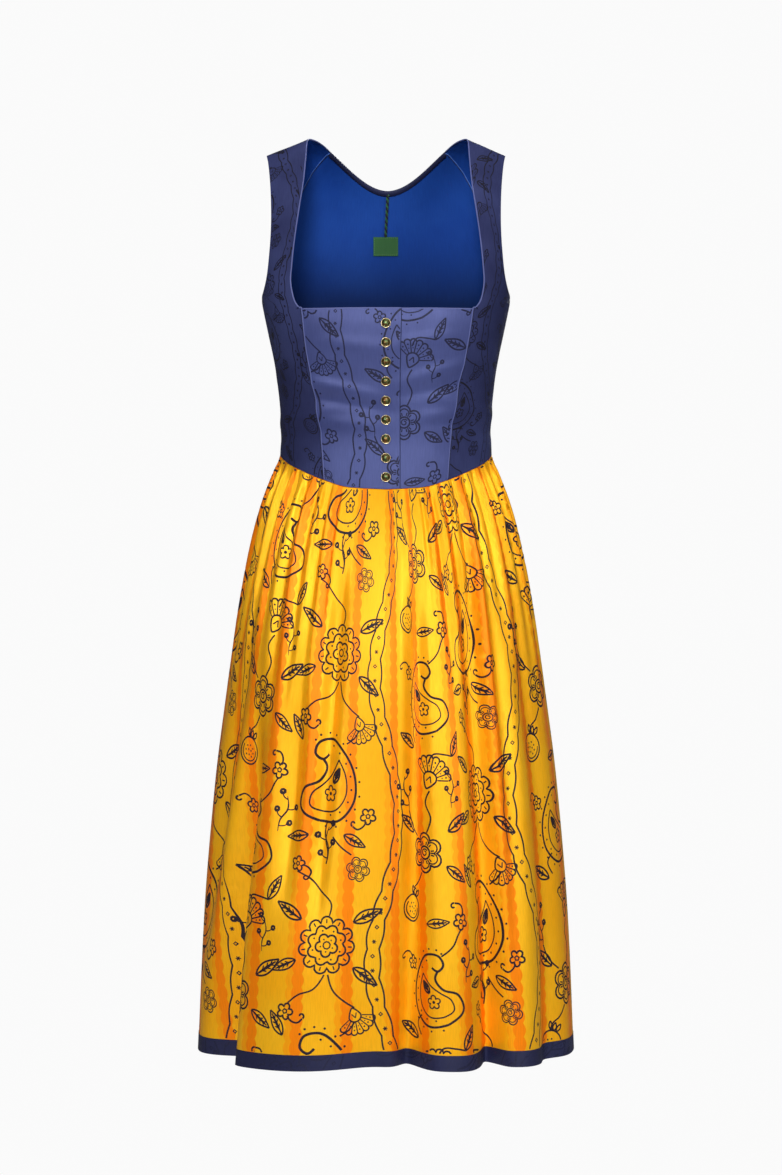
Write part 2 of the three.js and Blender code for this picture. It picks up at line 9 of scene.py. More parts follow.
import bpy
import numpy as np
from mathutils.geometry import delaunay_2d_cdt
from mathutils.kdtree import KDTree
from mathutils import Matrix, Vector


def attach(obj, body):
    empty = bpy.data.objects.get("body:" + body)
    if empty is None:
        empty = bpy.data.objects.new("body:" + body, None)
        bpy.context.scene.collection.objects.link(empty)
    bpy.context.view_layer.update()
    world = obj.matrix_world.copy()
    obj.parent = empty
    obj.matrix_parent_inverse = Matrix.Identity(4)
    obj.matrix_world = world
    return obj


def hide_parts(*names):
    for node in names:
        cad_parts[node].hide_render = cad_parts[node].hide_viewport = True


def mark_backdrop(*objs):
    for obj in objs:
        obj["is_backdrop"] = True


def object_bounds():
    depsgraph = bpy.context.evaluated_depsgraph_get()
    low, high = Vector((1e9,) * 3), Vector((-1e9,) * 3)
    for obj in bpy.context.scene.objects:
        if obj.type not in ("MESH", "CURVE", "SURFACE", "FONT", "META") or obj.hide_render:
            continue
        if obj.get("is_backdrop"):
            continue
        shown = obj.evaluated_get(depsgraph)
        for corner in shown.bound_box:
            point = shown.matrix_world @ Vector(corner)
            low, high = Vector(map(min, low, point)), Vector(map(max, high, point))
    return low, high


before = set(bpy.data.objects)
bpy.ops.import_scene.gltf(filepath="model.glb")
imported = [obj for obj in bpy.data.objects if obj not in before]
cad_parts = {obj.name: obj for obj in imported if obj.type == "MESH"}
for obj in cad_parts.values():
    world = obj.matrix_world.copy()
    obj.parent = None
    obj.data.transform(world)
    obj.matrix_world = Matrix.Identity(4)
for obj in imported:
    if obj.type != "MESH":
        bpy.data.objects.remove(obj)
cad_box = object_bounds()

METRE = 0.001

# Driving dimensions, the same as in the solids
WALL = 1.5
LINING_WALL = 1.0
SKIRT_WALL = 1.4
LAYER_GAP = 0.3
WAIST_GAP = 0.7
HEM_Z = -1134
HEM_BAND_DEPTH = 20
SKIRT_LENGTH = 738
NECK_FRONT_Z = -224.5
UNDERARM_Z = -203
LAP_X = 17
UNDERLAP_X = -14
LAP_DEPTH = 2.4
BUTTON_COUNT = 9
BUTTON_TOP_Z = -243
BUTTON_BOTTOM_Z = -428

# Sections of the body by level: half width, depth in front, depth behind, power
TORSO = [
    (-443, 132, 98, 90, 2.25),
    (-396, 132, 98, 89, 2.25),
    (-363, 131, 100, 88, 2.3),
    (-303, 136, 109, 92, 2.4),
    (-273, 141, 114, 94, 2.5),
    (-243, 147.5, 116, 96, 2.6),
    (-203, 155, 112, 99, 2.7),
    (-149, 160, 97, 101, 2.8),
    (-104, 162, 78, 99, 2.8),
    (-71, 163, 59, 93, 2.8),
    (-53, 164, 48, 87, 2.8),
    (-32, 165, 34, 74, 2.8),
    (-10, 166, 17, 47, 2.8),
    (-3, 166, 9, 24, 2.8),
    (0, 166, 0, 0, 2.8),
]

# Sections of the skirt by share of the way down, with the same columns
SKIRT = [
    (0, 132, 98, 90, 2.25),
    (0.02, 136.5, 103, 95, 2.25),
    (0.077, 152.5, 116, 112, 2.2),
    (0.145, 166, 127, 127, 2.2),
    (0.28, 186, 144, 147, 2.15),
    (0.42, 201, 159, 163, 2.1),
    (0.55, 213, 171, 176, 2.1),
    (0.79, 227.5, 190, 193, 2.1),
    (1, 234, 201, 203, 2.1),
]

# Folds: angle at the waist and the hem, half-width at both, depth at both,
# lean, and where the trough opens and fades on the way down
FOLDS = [
    (-4, -4, 20, 25, 2, 34, 0, 0.25, 2),
    (17, 9, 7, 8, 13, 40, 0, 0.03, 2),
    (43, 37, 7, 9, 22, 56, 7, 0.01, 2),
    (56, 46, 5, 6, 9, 6, 0, 0.03, 2),
    (68, 64, 8, 10, 7, 16, 0, 0.1, 2),
    (-22, -28, 6, 6, 15, 12, 0, 0.05, 0.85),
    (-38, -38, 6, 6, 14, 12, 0, 0.24, 0.78),
    (-50, -66, 6, 11, 12, 58, 5, 0.3, 2),
    (-58, -84, 6, 8, 13, 14, 0, 0.22, 0.9),
    (100, 105, 8, 13, 10, 42, 0, 0.2, 2),
    (122, 120, 6, 7, 14, 16, 0, 0.06, 0.9),
    (139, 143, 8, 14, 12, 52, 4, 0.12, 2),
    (159, 158, 7, 6, 13, 14, 0, 0.05, 0.8),
    (178, 176, 8, 13, 12, 46, -4, 0.1, 2),
    (198, 201, 6, 6, 13, 14, 0, 0.06, 0.8),
    (216, 214, 8, 14, 12, 50, -4, 0.15, 2),
    (238, 241, 6, 8, 12, 20, 0, 0.08, 0.95),
    (257, 256, 7, 11, 8, 34, 3, 0.3, 2),
]
FOLD_OPENING = 0.3
FOLD_FADING = 0.25
FOLD_REACH = 1.6
FOLD_SHARPNESS = 2.2

# Gathers round the waist: from and to, in degrees, and how many
GATHERS_FRONT = [(-90, -27, 9), (-27, 20, 0), (20, 90, 10)]
GATHERS_BACK = [(90, 270, 25)]
COLUMNS_A_GATHER = 12
FLAT_COLUMNS = 36
GATHER_HEIGHT = 4.4
GATHER_FADE = 0.5
PLEAT_HEIGHT = 1.1
HEM_LIFT = 3

# Angle from the middle of the front, and the height of the waist seam there
WAIST_SEAM = [(0, -443), (25, -440.5), (42, -431), (62, -415), (90, -396), (130, -392), (180, -391)]


def smooth(low, high, x):
    t = np.clip((x - low) / (high - low), 0, 1)
    return t * t * (3 - 2 * t)


def mix(a, b, t):
    return a + (b - a) * t


def to_unit(vectors):
    return vectors / np.linalg.norm(vectors, axis=-1, keepdims=True)


def directions(degrees):
    """Unit vectors, across and up, at angles in degrees."""
    turn = np.radians(degrees)
    return np.stack([np.cos(turn), np.sin(turn)], -1)


def evenly(count, first=0.0):
    """Angles spread evenly round a circle."""
    return first + np.arange(count) * 360 / count


def hermite(t, step, first, last, first_slope, last_slope):
    """A smooth step between two values with the given slopes."""
    rise = t * t * (3 - 2 * t)
    lead = t * (1 - t) ** 2 * first_slope
    tail = t * t * (1 - t) * last_slope
    return first * (1 - rise) + last * rise + step * (lead - tail)


def curve(places, values):
    """A smooth curve through rows of a table that never overshoots."""
    places = np.array(places, float)
    values = np.array(values, float)
    slopes = np.diff(values) / np.diff(places)
    before, after = slopes[:-1], slopes[1:]
    same_way = before * after > 0
    total = np.where(same_way, before + after, 1)
    inner = np.where(same_way, 2 * before * after / total, 0)
    tangents = np.concatenate([slopes[:1], inner, slopes[-1:]])

    def read(at):
        at = np.clip(at, places[0], places[-1])
        i = np.clip(np.searchsorted(places, at) - 1, 0, len(places) - 2)
        step = places[i + 1] - places[i]
        t = (at - places[i]) / step
        return hermite(t, step, values[i], values[i + 1], tangents[i], tangents[i + 1])

    return read


def section_curves(places, rows):
    names = ("half", "front", "back", "power")
    return {name: curve(places, [row[k + 1] for row in rows]) for k, name in enumerate(names)}


# The torso is read by the root of the drop, so that it closes round at the shoulder.
by_root = TORSO[::-1]
torso = section_curves([math.sqrt(-row[0]) for row in by_root], by_root)
skirt = section_curves([row[0] for row in SKIRT], SKIRT)
seam_height = curve(*zip(*WAIST_SEAM))


def turned(angle):
    """The angle as -180 to 180 degrees from the middle of the front."""
    return np.where(angle > 180, angle - 360, angle)


def seam_level(angle):
    return seam_height(np.abs(turned(angle))) + WAIST_GAP / 2


def ring(sections, angle, place):
    """A place on the rounded section of the torso or the skirt."""
    s = np.sin(np.radians(angle))
    c = np.cos(np.radians(angle))
    depth = np.where(c >= 0, sections["front"](place), sections["back"](place))
    power = sections["power"](place)
    wide = (np.abs(s) / sections["half"](place)) ** power
    r = (wide + (np.abs(c) / depth) ** power) ** (-1 / power)
    return r * s, -r * c


SLOPE_START_X = 97
SLOPE_WIDTH = 52
SLOPE_DROP = 22
SLOPE_REACH = 150


def shoulder_drop(x, level):
    out = np.clip((np.abs(x) - SLOPE_START_X) / SLOPE_WIDTH, 0, 1.2)
    return SLOPE_DROP * out * np.maximum(0, 1 + level / SLOPE_REACH)


def torso_point(angle, level):
    angle, level = np.broadcast_arrays(np.asarray(angle, float), np.asarray(level, float))
    x, y = ring(torso, angle, np.sqrt(-level))
    return np.stack([x, y, level - shoulder_drop(x, level)], -1)


def strap_point(x, over):
    """A point by its width and the root of its drop, negative in front."""
    x, over = np.broadcast_arrays(np.asarray(x, float), np.asarray(over, float))
    root = np.abs(over)
    depth = np.where(over < 0, -torso["front"](root), torso["back"](root))
    power = torso["power"](root)
    share = 1 - (np.abs(x) / torso["half"](root)) ** power
    level = -root * root
    return np.stack([x, depth * share ** (1 / power), level - shoulder_drop(x, level)], -1)


def angle_at(x, level, behind=False):
    root = np.sqrt(-np.asarray(level, float))
    p = strap_point(x, root if behind else -root)
    return np.degrees(np.arctan2(p[..., 0], -p[..., 1]))


def spline(points, factor):
    """More rows between rows of points, on smooth curves through them."""
    gaps = np.linalg.norm(np.diff(points, axis=0), axis=-1).mean(axis=1)[:, None, None]
    slopes = np.diff(points, axis=0) / gaps
    inner = (slopes[:-1] * gaps[1:] + slopes[1:] * gaps[:-1]) / (gaps[1:] + gaps[:-1])
    first = 1.5 * slopes[:1] - 0.5 * inner[:1]
    last = 1.5 * slopes[-1:] - 0.5 * inner[-1:]
    tangents = np.concatenate([first, inner, last])
    rows = []
    for i in range(len(points) - 1):
        for t in np.arange(factor) / factor:
            ends = points[i], points[i + 1], tangents[i], tangents[i + 1]
            rows.append(hermite(t, gaps[i], *ends))
    return np.array(rows + [points[-1]])


def cornered(grid, row):
    """Smooth rows of the back whose two side edges turn a corner at one row."""
    lower = spline(grid[:row + 1], ROW_SPLITS)
    upper = spline(grid[row:], ROW_SPLITS)
    parted = np.concatenate([lower, upper[1:]])
    side = np.abs(np.linspace(-1, 1, grid.shape[1]))
    return mix(spline(grid, ROW_SPLITS), parted, smooth(0.5, 0.95, side)[None, :, None])


NECK_SHIFT = 2


def shifted(points):
    """The neck edges hang a little to one side in the worn dress."""
    near = 1 - smooth(112, 145, np.abs(points[..., 0]))
    moved = points.copy()
    moved[..., 0] += NECK_SHIFT * near * smooth(-320, -200, points[..., 2])
    return moved


def normals_of(points):
    """Outward directions of a grid whose rows rise and run towards +X seen from outside."""
    return to_unit(np.cross(np.gradient(points, axis=1), np.gradient(points, axis=0)))


# Outer surfaces of the bodice, each a grid of points from bottom to top
BODY_ROWS = 12
ROW_SPLITS = 5
FRONT_COLUMNS = 44
SIDE_FRONT_COLUMNS = 30
SIDE_BACK_COLUMNS = 24
BACK_COLUMNS = 96
PRINCESS_TOP = -224
PRINCESS_WAIST_X = 74.5
princess_x = curve([-440, -380, -320, -270, PRINCESS_TOP], [PRINCESS_WAIST_X, 79, 88, 98, 104])
SIDE_ANGLE = 92
BACK_SEAM_WAIST = 150
BACK_SEAM_TOP = -150
BACK_SEAM_TOP_X = 138
BACK_SEAM_BEND = 1.7
ARMHOLE_HOLLOW = 1.6

share_up = np.linspace(0, 1, BODY_ROWS + 1)[:, None]


def shares_across(columns):
    return np.linspace(0, 1, columns + 1)[None, :]


def princess_angle():
    """Angles of the princess seam, from the waist up."""
    waist = seam_level(angle_at(PRINCESS_WAIST_X, -430))
    level = mix(waist, PRINCESS_TOP, share_up)
    return angle_at(princess_x(level), level)


def front_grid(inner_x, side):
    across = shares_across(FRONT_COLUMNS)
    seam_angle = side * princess_angle()
    top = mix(PRINCESS_TOP, NECK_FRONT_Z, smooth(0, 0.25, across))
    rough = mix(seam_angle, angle_at(inner_x, -300), across)
    level = mix(seam_level(rough), top, share_up)
    return torso_point(mix(seam_angle, angle_at(inner_x, level), across), level)


# The neck and armhole edges of the strap: width and distance over the shoulder
STRAP_EDGES = [
    (113.5, -14.6, 151, -14.0),
    (117.6, -14.0, 147, -13.5),
    (116.8, -12.9, 143, -12.2),
    (113.5, -11.5, 141.5, -10.7),
    (109, -9.8, 142, -8.8),
    (104, -7.6, 144, -6.5),
    (101.5, -4.6, 147, -3.6),
    (100.6, -2.0, 149, -1.2),
    (98.5, 0.3, 148.8, 1.3),
    (90, 1.1, 146, 4.0),
    (81.5, 2.1, 141.5, 7.2),
    (73.5, 3.1, 137, 10.2),
]
CORNER_X = 109
CORNER_LEVEL = -220.5
CORNER_ANGLE = 78
CORNER_OUT_LEVEL = -200.5


def side_front_grid():
    across = shares_across(SIDE_FRONT_COLUMNS)
    angle = mix(princess_angle(), SIDE_ANGLE, across)
    top = mix(PRINCESS_TOP, UNDERARM_Z, across)
    rows = list(torso_point(angle, mix(seam_level(angle), top, share_up)))
    corner_angle = mix(angle_at(CORNER_X, CORNER_LEVEL), CORNER_ANGLE, across[0])
    rows.append(torso_point(corner_angle, mix(CORNER_LEVEL, CORNER_OUT_LEVEL, across[0])))
    for inner, inner_over, outer, outer_over in STRAP_EDGES:
        over = mix(inner_over, outer_over, across[0])
        rows.append(strap_point(mix(inner, outer, across[0]), over))
    return np.array(rows)


def back_seam():
    """Angles and levels of the curved seam of the back, from the waist up."""
    top = angle_at(BACK_SEAM_TOP_X, BACK_SEAM_TOP, behind=True)
    level = mix(seam_level(np.array(BACK_SEAM_WAIST)), BACK_SEAM_TOP, share_up)
    return mix(BACK_SEAM_WAIST, top, share_up ** BACK_SEAM_BEND), level


def side_back_grid():
    across = shares_across(SIDE_BACK_COLUMNS)
    seam_angle, seam_z = back_seam()
    side_z = mix(seam_level(np.array(SIDE_ANGLE)), UNDERARM_Z, share_up)
    angle = mix(SIDE_ANGLE, seam_angle, across)
    level = mix(side_z, seam_z, across ** mix(1, ARMHOLE_HOLLOW, share_up))
    level[0] = seam_level(angle[0])
    return torso_point(angle, level)


# Upper rows of the back: edge width, distance over at the edge and the middle
BACK_TOP_ROWS = [(137.4, 11.6, 10.4), (136.8, 10.9, 8.8), (137, 10.2, 7.35)]
NECK_CORNER_X = 73.5
NECK_CORNER_OVER = 3.1
NECK_HALF_SHARE = 0.5
NECK_CURVE = 1.9
LOWER_CORNER_X = 95


def centre_back_grid():
    across = shares_across(BACK_COLUMNS)
    seam_angle, _ = back_seam()
    angle = mix(seam_angle, 360 - seam_angle, across)
    rows = list(torso_point(angle, mix(seam_level(angle), BACK_SEAM_TOP, share_up)))
    side = 1 - 2 * across[0]
    far = np.abs(side)
    neck = far < NECK_HALF_SHARE
    t = np.where(neck, far / NECK_HALF_SHARE, (far - NECK_HALF_SHARE) / (1 - NECK_HALF_SHARE))
    for j, (edge, edge_over, middle_over) in enumerate(BACK_TOP_ROWS):
        last = j == len(BACK_TOP_ROWS) - 1
        rise = NECK_CORNER_OVER if last else mix(NECK_CORNER_OVER, middle_over, 0.75 - 0.28 * j)
        turn = NECK_CORNER_X if last else mix(NECK_CORNER_X, LOWER_CORNER_X, 0.5 / (j + 1))
        over = np.where(neck, mix(middle_over, rise, t ** NECK_CURVE), mix(rise, edge_over, t))
        x = np.where(neck, turn * t, mix(turn, edge, t))
        rows.append(strap_point(np.sign(side) * x, over))
    return np.array(rows)


def mirrored(points):
    return (points * [-1, 1, 1])[:, ::-1]


# Soft drag lines across the front: x, z, length, height, slope and depth
DRAG_LINES = [
    (-62, -318, 52, 7, -0.22, 1.5),
    (-52, -338, 46, 6, -0.18, -1.2),
    (-48, -362, 40, 8, -0.1, 0.9),
    (62, -300, 44, 8, 0.3, 1.2),
    (58, -322, 40, 7, 0.22, -1.0),
    (66, -352, 40, 8, 0.12, 0.9),
    (-102, -352, 34, 9, 0.2, 1.6),
    (-98, -374, 32, 7, 0.12, -1.3),
    (104, -342, 34, 9, -0.2, 1.5),
    (100, -366, 32, 7, -0.1, -1.2),
    (-40, -268, 36, 9, -0.12, 0.8),
    (44, -262, 38, 8, 0.16, 0.8),
]
DRAG_DEPTH = 1.9


def draped(points):
    """The cloth of the front with its drag lines."""
    x, z = points[..., 0], points[..., 2]
    before = smooth(20, -20, points[..., 1])
    lift = np.zeros(x.shape)
    for centre_x, centre_z, length, height, slope, depth in DRAG_LINES:
        along = (x - centre_x) / length
        up = (z - centre_z - slope * (x - centre_x)) / height
        lift += depth * np.exp(-along ** 2 - up ** 2)
    edge = smooth(NECK_FRONT_Z, NECK_FRONT_Z - 18, z) * smooth(-445, -425, z)
    return points + normals_of(points) * (DRAG_DEPTH * lift * before * edge)[..., None]


# The left front dips behind the lap.
front_left = front_grid(UNDERLAP_X, 1)[:, ::-1]
under = 1 - smooth(LAP_X + 6, LAP_X + 45, front_left[..., 0])
front_left = front_left - normals_of(front_left) * (LAP_DEPTH * under)[..., None]

outer_grids = {
    "front_right": front_grid(LAP_X, -1),
    "front_left": front_left,
    "side_front_left": side_front_grid(),
    "side_front_right": mirrored(side_front_grid()),
    "side_back_left": side_back_grid(),
    "side_back_right": mirrored(side_back_grid()),
    "centre_back": centre_back_grid(),
}
for name, grid in outer_grids.items():
    smoothed = cornered(grid, BODY_ROWS) if name == "centre_back" else spline(grid, ROW_SPLITS)
    outer_grids[name] = draped(shifted(smoothed))


# The skirt, by angle, gather phase and share of the way down
def fold_shapes(angle, down):
    """How far the folds push the cloth in, and how many degrees they slide it."""
    push = np.zeros(np.broadcast(angle, down).shape)
    slide = push.copy()
    run = np.clip(down, 0, 1)
    for top, hem, half_top, half_hem, depth_top, depth_hem, lean, start, end in FOLDS:
        away = angle - mix(top, hem, run)
        away = away - 360 * np.round(away / 360)
        away = away / mix(half_top, half_hem, run)
        opened = smooth(start, start + FOLD_OPENING, down)
        faded = 1 - smooth(end - FOLD_FADING, end, down)
        inside = np.clip(1 - (away / FOLD_REACH) ** 2, 0, 1)
        share = opened * faded * np.exp(-FOLD_SHARPNESS * away ** 2) * inside
        push -= mix(depth_top, depth_hem, run * run) * share
        slide += lean * run * run * share
    return push, slide


def skirt_base(angle, down):
    return np.stack(ring(skirt, angle, down), -1)


def skirt_surface(angle, phase, gathered, down):
    push, slide = fold_shapes(angle, down)
    turn = angle + slide
    along = to_unit(skirt_base(turn + 0.05, down) - skirt_base(turn - 0.05, down))
    out = np.stack([along[..., 1], -along[..., 0]], -1)
    uneven = 0.78 + 0.22 * np.sin(1.7 * phase + 0.6) * np.cos(0.53 * phase)
    swell = 0.22 + 0.78 * smooth(0, 0.03, down)
    fade = 1 - smooth(0.05, GATHER_FADE, down)
    wander = 0.1 * np.sin(9 * down + 1.3 * phase)
    wave = np.cos(2 * np.pi * (phase + wander * smooth(0.02, 0.2, down)))
    push = push + GATHER_HEIGHT * gathered * uneven * swell * fade * wave
    pleat = np.cos(2 * np.pi * (2.37 * phase + 0.3 * np.sin(phase)))
    push = push + PLEAT_HEIGHT * gathered * swell * (1 - smooth(0.01, 0.2, down)) * pleat
    away = turned(angle)
    lift = HEM_LIFT * np.cos(np.radians(3 * away)) * np.exp(-((away / 70) ** 2))
    z = mix(seam_height(np.abs(away)) - WAIST_GAP / 2, HEM_Z + lift, down)
    return np.concatenate([skirt_base(turn, down) + out * push[..., None], z[..., None]], -1)


def skirt_columns(stretches):
    """Angles, phases and shares of gathering of the columns of half the skirt."""
    parts = []
    phase = 0
    for start, end, gathers in stretches:
        count = gathers * COLUMNS_A_GATHER or FLAT_COLUMNS
        share = np.arange(1 if parts else 0, count + 1) / count
        inside = np.minimum(share, 1 - share) * gathers
        gathered = smooth(-0.3, 1, inside) if gathers else inside
        parts.append([mix(start, end, share), phase + gathers * share, gathered])
        phase += gathers
    return np.concatenate(parts, axis=1)[:, None, :]


SKIRT_ROWS = 48
BAND_ROWS = 4
HEM_BAND_TOP = 1 - HEM_BAND_DEPTH / SKIRT_LENGTH
rows_down = (HEM_BAND_TOP * np.linspace(0, 1, SKIRT_ROWS + 1) ** 1.35)[::-1, None]
band_down = np.linspace(1, HEM_BAND_TOP, BAND_ROWS + 1)[:, None]


def skirt_half(stretches):
    columns = skirt_columns(stretches)
    return skirt_surface(*columns, rows_down), skirt_surface(*columns, band_down)


skirt_front, band_front = skirt_half(GATHERS_FRONT)
skirt_back, band_back = skirt_half(GATHERS_BACK)


# Materials
def linear(colour):
    """A colour of 0 to 255 as the shaders take it."""
    parts = [c / 255 for c in colour]
    return tuple(c / 12.92 if c <= 0.04045 else ((c + 0.055) / 1.055) ** 2.4 for c in parts) + (1,)


class Shader:
    """A material and short ways to add and join its nodes."""

    def __init__(self, name, roughness, sheen=0.0, metallic=0.0, specular=0.5):
        self.material = bpy.data.materials.new(name)
        self.material.use_nodes = True
        self.tree = self.material.node_tree
        self.base = self.tree.nodes["Principled BSDF"]
        self.put(self.base, "Roughness", roughness)
        self.put(self.base, "Metallic", metallic)
        self.put(self.base, "Sheen Weight", sheen)
        self.put(self.base, "Specular IOR Level", specular)

    def node(self, kind, settings=None, **inputs):
        made = self.tree.nodes.new("ShaderNode" + kind)
        for key, value in (settings or {}).items():
            setattr(made, key, value)
        for key, value in inputs.items():
            self.put(made, key.replace("_", " "), value)
        return made

    def put(self, node, socket, value):
        place = node.inputs[socket]
        if isinstance(value, bpy.types.NodeSocket):
            self.tree.links.new(value, place)
        else:
            place.default_value = value

    def math(self, operation, a, b=0.0):
        made = self.node("Math", {"operation": operation})
        self.put(made, 0, a)
        self.put(made, 1, b)
        return made.outputs[0]

    def ramp(self, value, low, high, start=0.0, end=1.0):
        made = self.node("MapRange", {"interpolation_type": "SMOOTHSTEP"}, Value=value)
        for socket, number in zip(("From Min", "From Max", "To Min", "To Max"), (low, high, start, end)):
            self.put(made, socket, number)
        return made.outputs[0]

    def blend(self, share, first, second, kind="MIX"):
        made = self.node("Mix", {"data_type": "RGBA", "blend_type": kind})
        self.put(made, "Factor", share)
        self.put(made, 6, first)
        self.put(made, 7, second)
        return made.outputs[2]

    def shaded(self, colour, share):
        grey = self.node("CombineColor", Red=share, Green=share, Blue=share)
        return self.blend(1.0, colour, grey.outputs[0], "MULTIPLY")

    def place(self):
        return self.node("TexCoord").outputs["Object"]

    def noise(self, place, scale, detail):
        return self.node("TexNoise", Vector=place, Scale=scale, Detail=detail).outputs["Fac"]

    def cloth_place(self):
        """Separate u and v of the cloth, in metres."""
        parts = self.node("SeparateXYZ", Vector=self.node("UVMap", {"uv_map": "cloth"}).outputs[0])
        return parts.outputs[0], parts.outputs[1]

    def colour(self, value):
        self.put(self.base, "Base Color", value)

    def bump(self, height, distance, strength):
        made = self.node("Bump", Height=height, Distance=distance, Strength=strength)
        self.put(self.base, "Normal", made.outputs[0])


# Sizes in the materials are in metres, and a scale is for one metre
SATIN_PITCH = 0.0005
LINING_PITCH = 0.0004
COARSE_PITCH = 0.0006
FLOAT_LENGTH = 2.5
WEAVE_HEIGHT = 0.00006
CLOUD_SCALE = 9.0
SLUB_ACROSS = 900.0
SLUB_ALONG = 60.0


def weave(shader, u, v, pitch):
    """Height of a satin weave: long floats along the cloth, stepped at each thread."""
    across = shader.math("MULTIPLY", u, 2 * math.pi / pitch)
    along = shader.math("MULTIPLY", v, math.pi / (FLOAT_LENGTH * pitch))
    thread = shader.math("SINE", across)
    step = shader.math("SINE", shader.math("ADD", along, shader.math("MULTIPLY", across, 0.4)))
    return shader.math("ADD", thread, shader.math("MULTIPLY", step, 0.5))


def cloth_shader(
    name, first, second, roughness, pitch=SATIN_PITCH, ground=None, sheen=0.0, metallic=0.0, specular=0.22,
):
    """A woven cloth whose colour wanders between two, over its own ground colour."""
    shader = Shader(name, roughness, sheen, metallic, specular)
    u, v = shader.cloth_place()
    cloud = shader.ramp(shader.noise(shader.place(), CLOUD_SCALE, 3.0), 0.35, 0.65)
    colour = shader.blend(cloud, linear(first), linear(second))
    if ground:
        colour = ground(shader, u, v, colour)
    across = shader.math("MULTIPLY", u, SLUB_ACROSS)
    along = shader.math("MULTIPLY", v, SLUB_ALONG)
    stretched = shader.node("CombineXYZ", X=across, Y=along).outputs[0]
    slub = shader.ramp(shader.noise(stretched, 1.0, 2.0), 0.3, 0.7, 0.93, 1.04)
    shader.colour(shader.shaded(colour, slub))
    shader.bump(weave(shader, u, v, pitch), WEAVE_HEIGHT, 0.5)
    return shader


STRIPE_PITCH = 0.062
STRIPE_WIDTH = 0.015
INNER_STRIPE_WIDTH = 0.012
STRIPE_EDGE = (0.0004, 0.0014)
SCALLOP_PITCH = 0.017
SCALLOP_DEPTH = 0.003
PALE_SHIFT = 0.0065


def stripe(shader, u, v, shift, width):
    """1 inside a stripe with scalloped edges that runs down the cloth, 0 outside."""
    place = shader.math("FRACT", shader.math("DIVIDE", shader.math("ADD", u, shift), STRIPE_PITCH))
    away = shader.math("ABSOLUTE", shader.math("SUBTRACT", place, 0.5))
    away = shader.math("MULTIPLY", away, STRIPE_PITCH)
    turn = shader.math("MULTIPLY", v, math.pi / SCALLOP_PITCH)
    scallop = shader.math("MULTIPLY", shader.math("ABSOLUTE", shader.math("SINE", turn)), SCALLOP_DEPTH)
    edge = shader.math("SUBTRACT", away, scallop)
    outer, inner = STRIPE_EDGE
    return shader.ramp(edge, width / 2 - outer, width / 2 - inner)


def striped(shader, u, v, colour):
    """Orange stripes down the cloth, each with a paler one along its left side."""
    pale = stripe(shader, u, v, PALE_SHIFT, STRIPE_WIDTH)
    strong = stripe(shader, u, v, 0.0, INNER_STRIPE_WIDTH)
    colour = shader.blend(pale, colour, linear((255, 164, 10)))
    return shader.blend(strong, colour, linear((255, 136, 0)))


INSIDE_DARK_Z = -0.235
INSIDE_LIGHT_Z = -0.09
INSIDE_DARKEST = 0.11


def shaded_inside(shader, u, v, colour):
    """The lining darkens towards the waist, where little light gets in."""
    height = shader.node("SeparateXYZ", Vector=shader.place()).outputs[2]
    share = shader.ramp(height, INSIDE_DARK_Z, INSIDE_LIGHT_Z, INSIDE_DARKEST, 1.0)
    return shader.shaded(colour, share)


gold = cloth_shader("gold_sateen", (255, 178, 16), (255, 188, 26), 0.4, ground=striped, metallic=0.35)
navy = cloth_shader("navy_satin", (74, 83, 136), (65, 73, 124), 0.42, metallic=0.2)
# The side panels take a darker copy of the navy satin: painted shade, where they turn away from the light.
navy_painted_shade_side = cloth_shader("navy_satin_painted_shade_side", (56, 62, 104), (42, 46, 82), 0.6, specular=0.06)
# The hem band takes a darker copy of the navy: painted shade of its folds.
band_navy_painted_shade = cloth_shader("navy_band_painted_shade", (36, 39, 74), (29, 31, 62), 0.5)
royal = cloth_shader(
    "royal_lining", (28, 69, 152), (22, 61, 142), 0.6, LINING_PITCH, shaded_inside, specular=0.05,
)
# A paler copy of the lining for the raised seams of the straps: painted highlight.
seam_royal_painted_highlight = cloth_shader("royal_seam_painted_highlight", (74, 112, 190), (60, 98, 176), 0.6, LINING_PITCH)
# The dark binding cloth also makes the dark lines of painted shadow beside the seams and along the lap.
binding_and_shadow_lines = cloth_shader("neck_binding", (34, 38, 72), (28, 32, 62), 0.55, LINING_PITCH)
# The piping is real; its colour, paler than the navy, is a painted highlight.
piping_painted_highlight = cloth_shader("piping_satin", (96, 104, 156), (84, 92, 144), 0.6)
label_weave = cloth_shader("label_weave", (52, 100, 54), (42, 86, 46), 0.75, COARSE_PITCH, sheen=0.1)
label_thread = cloth_shader("label_thread", (104, 150, 100), (84, 130, 84), 0.75, COARSE_PITCH, sheen=0.1)
green_twist = cloth_shader("green_twist", (44, 96, 56), (32, 78, 44), 0.7, COARSE_PITCH, sheen=0.1)
black_twist = cloth_shader("black_twist", (24, 26, 32), (18, 20, 26), 0.7, COARSE_PITCH, sheen=0.1)

INK_WEAR_SCALE = 900.0


def ink_shader(name, dark, light, roughness):
    """Printed ink, a little worn where the thread stands up."""
    shader = Shader(name, roughness, specular=0.2)
    patchy = shader.ramp(shader.noise(shader.place(), INK_WEAR_SCALE, 2.0), 0.35, 0.75)
    shader.colour(shader.blend(patchy, linear(dark), linear(light)))
    return shader


skirt_ink = ink_shader("skirt_ink", (26, 20, 34), (48, 34, 38), 0.6)
bodice_ink = ink_shader("bodice_ink", (26, 27, 50), (36, 38, 68), 0.62)
# The side panels take a darker copy of the bodice ink: painted shade, as on their cloth.
side_ink_painted_shade = ink_shader("side_ink_painted_shade", (10, 8, 18), (24, 22, 40), 0.62)

PATINA_SCALE = 260.0
DENT_SCALE = 1400.0
DENT_DEPTH = 0.00003
BRIGHT_RIM = (0.0051, 0.0054)


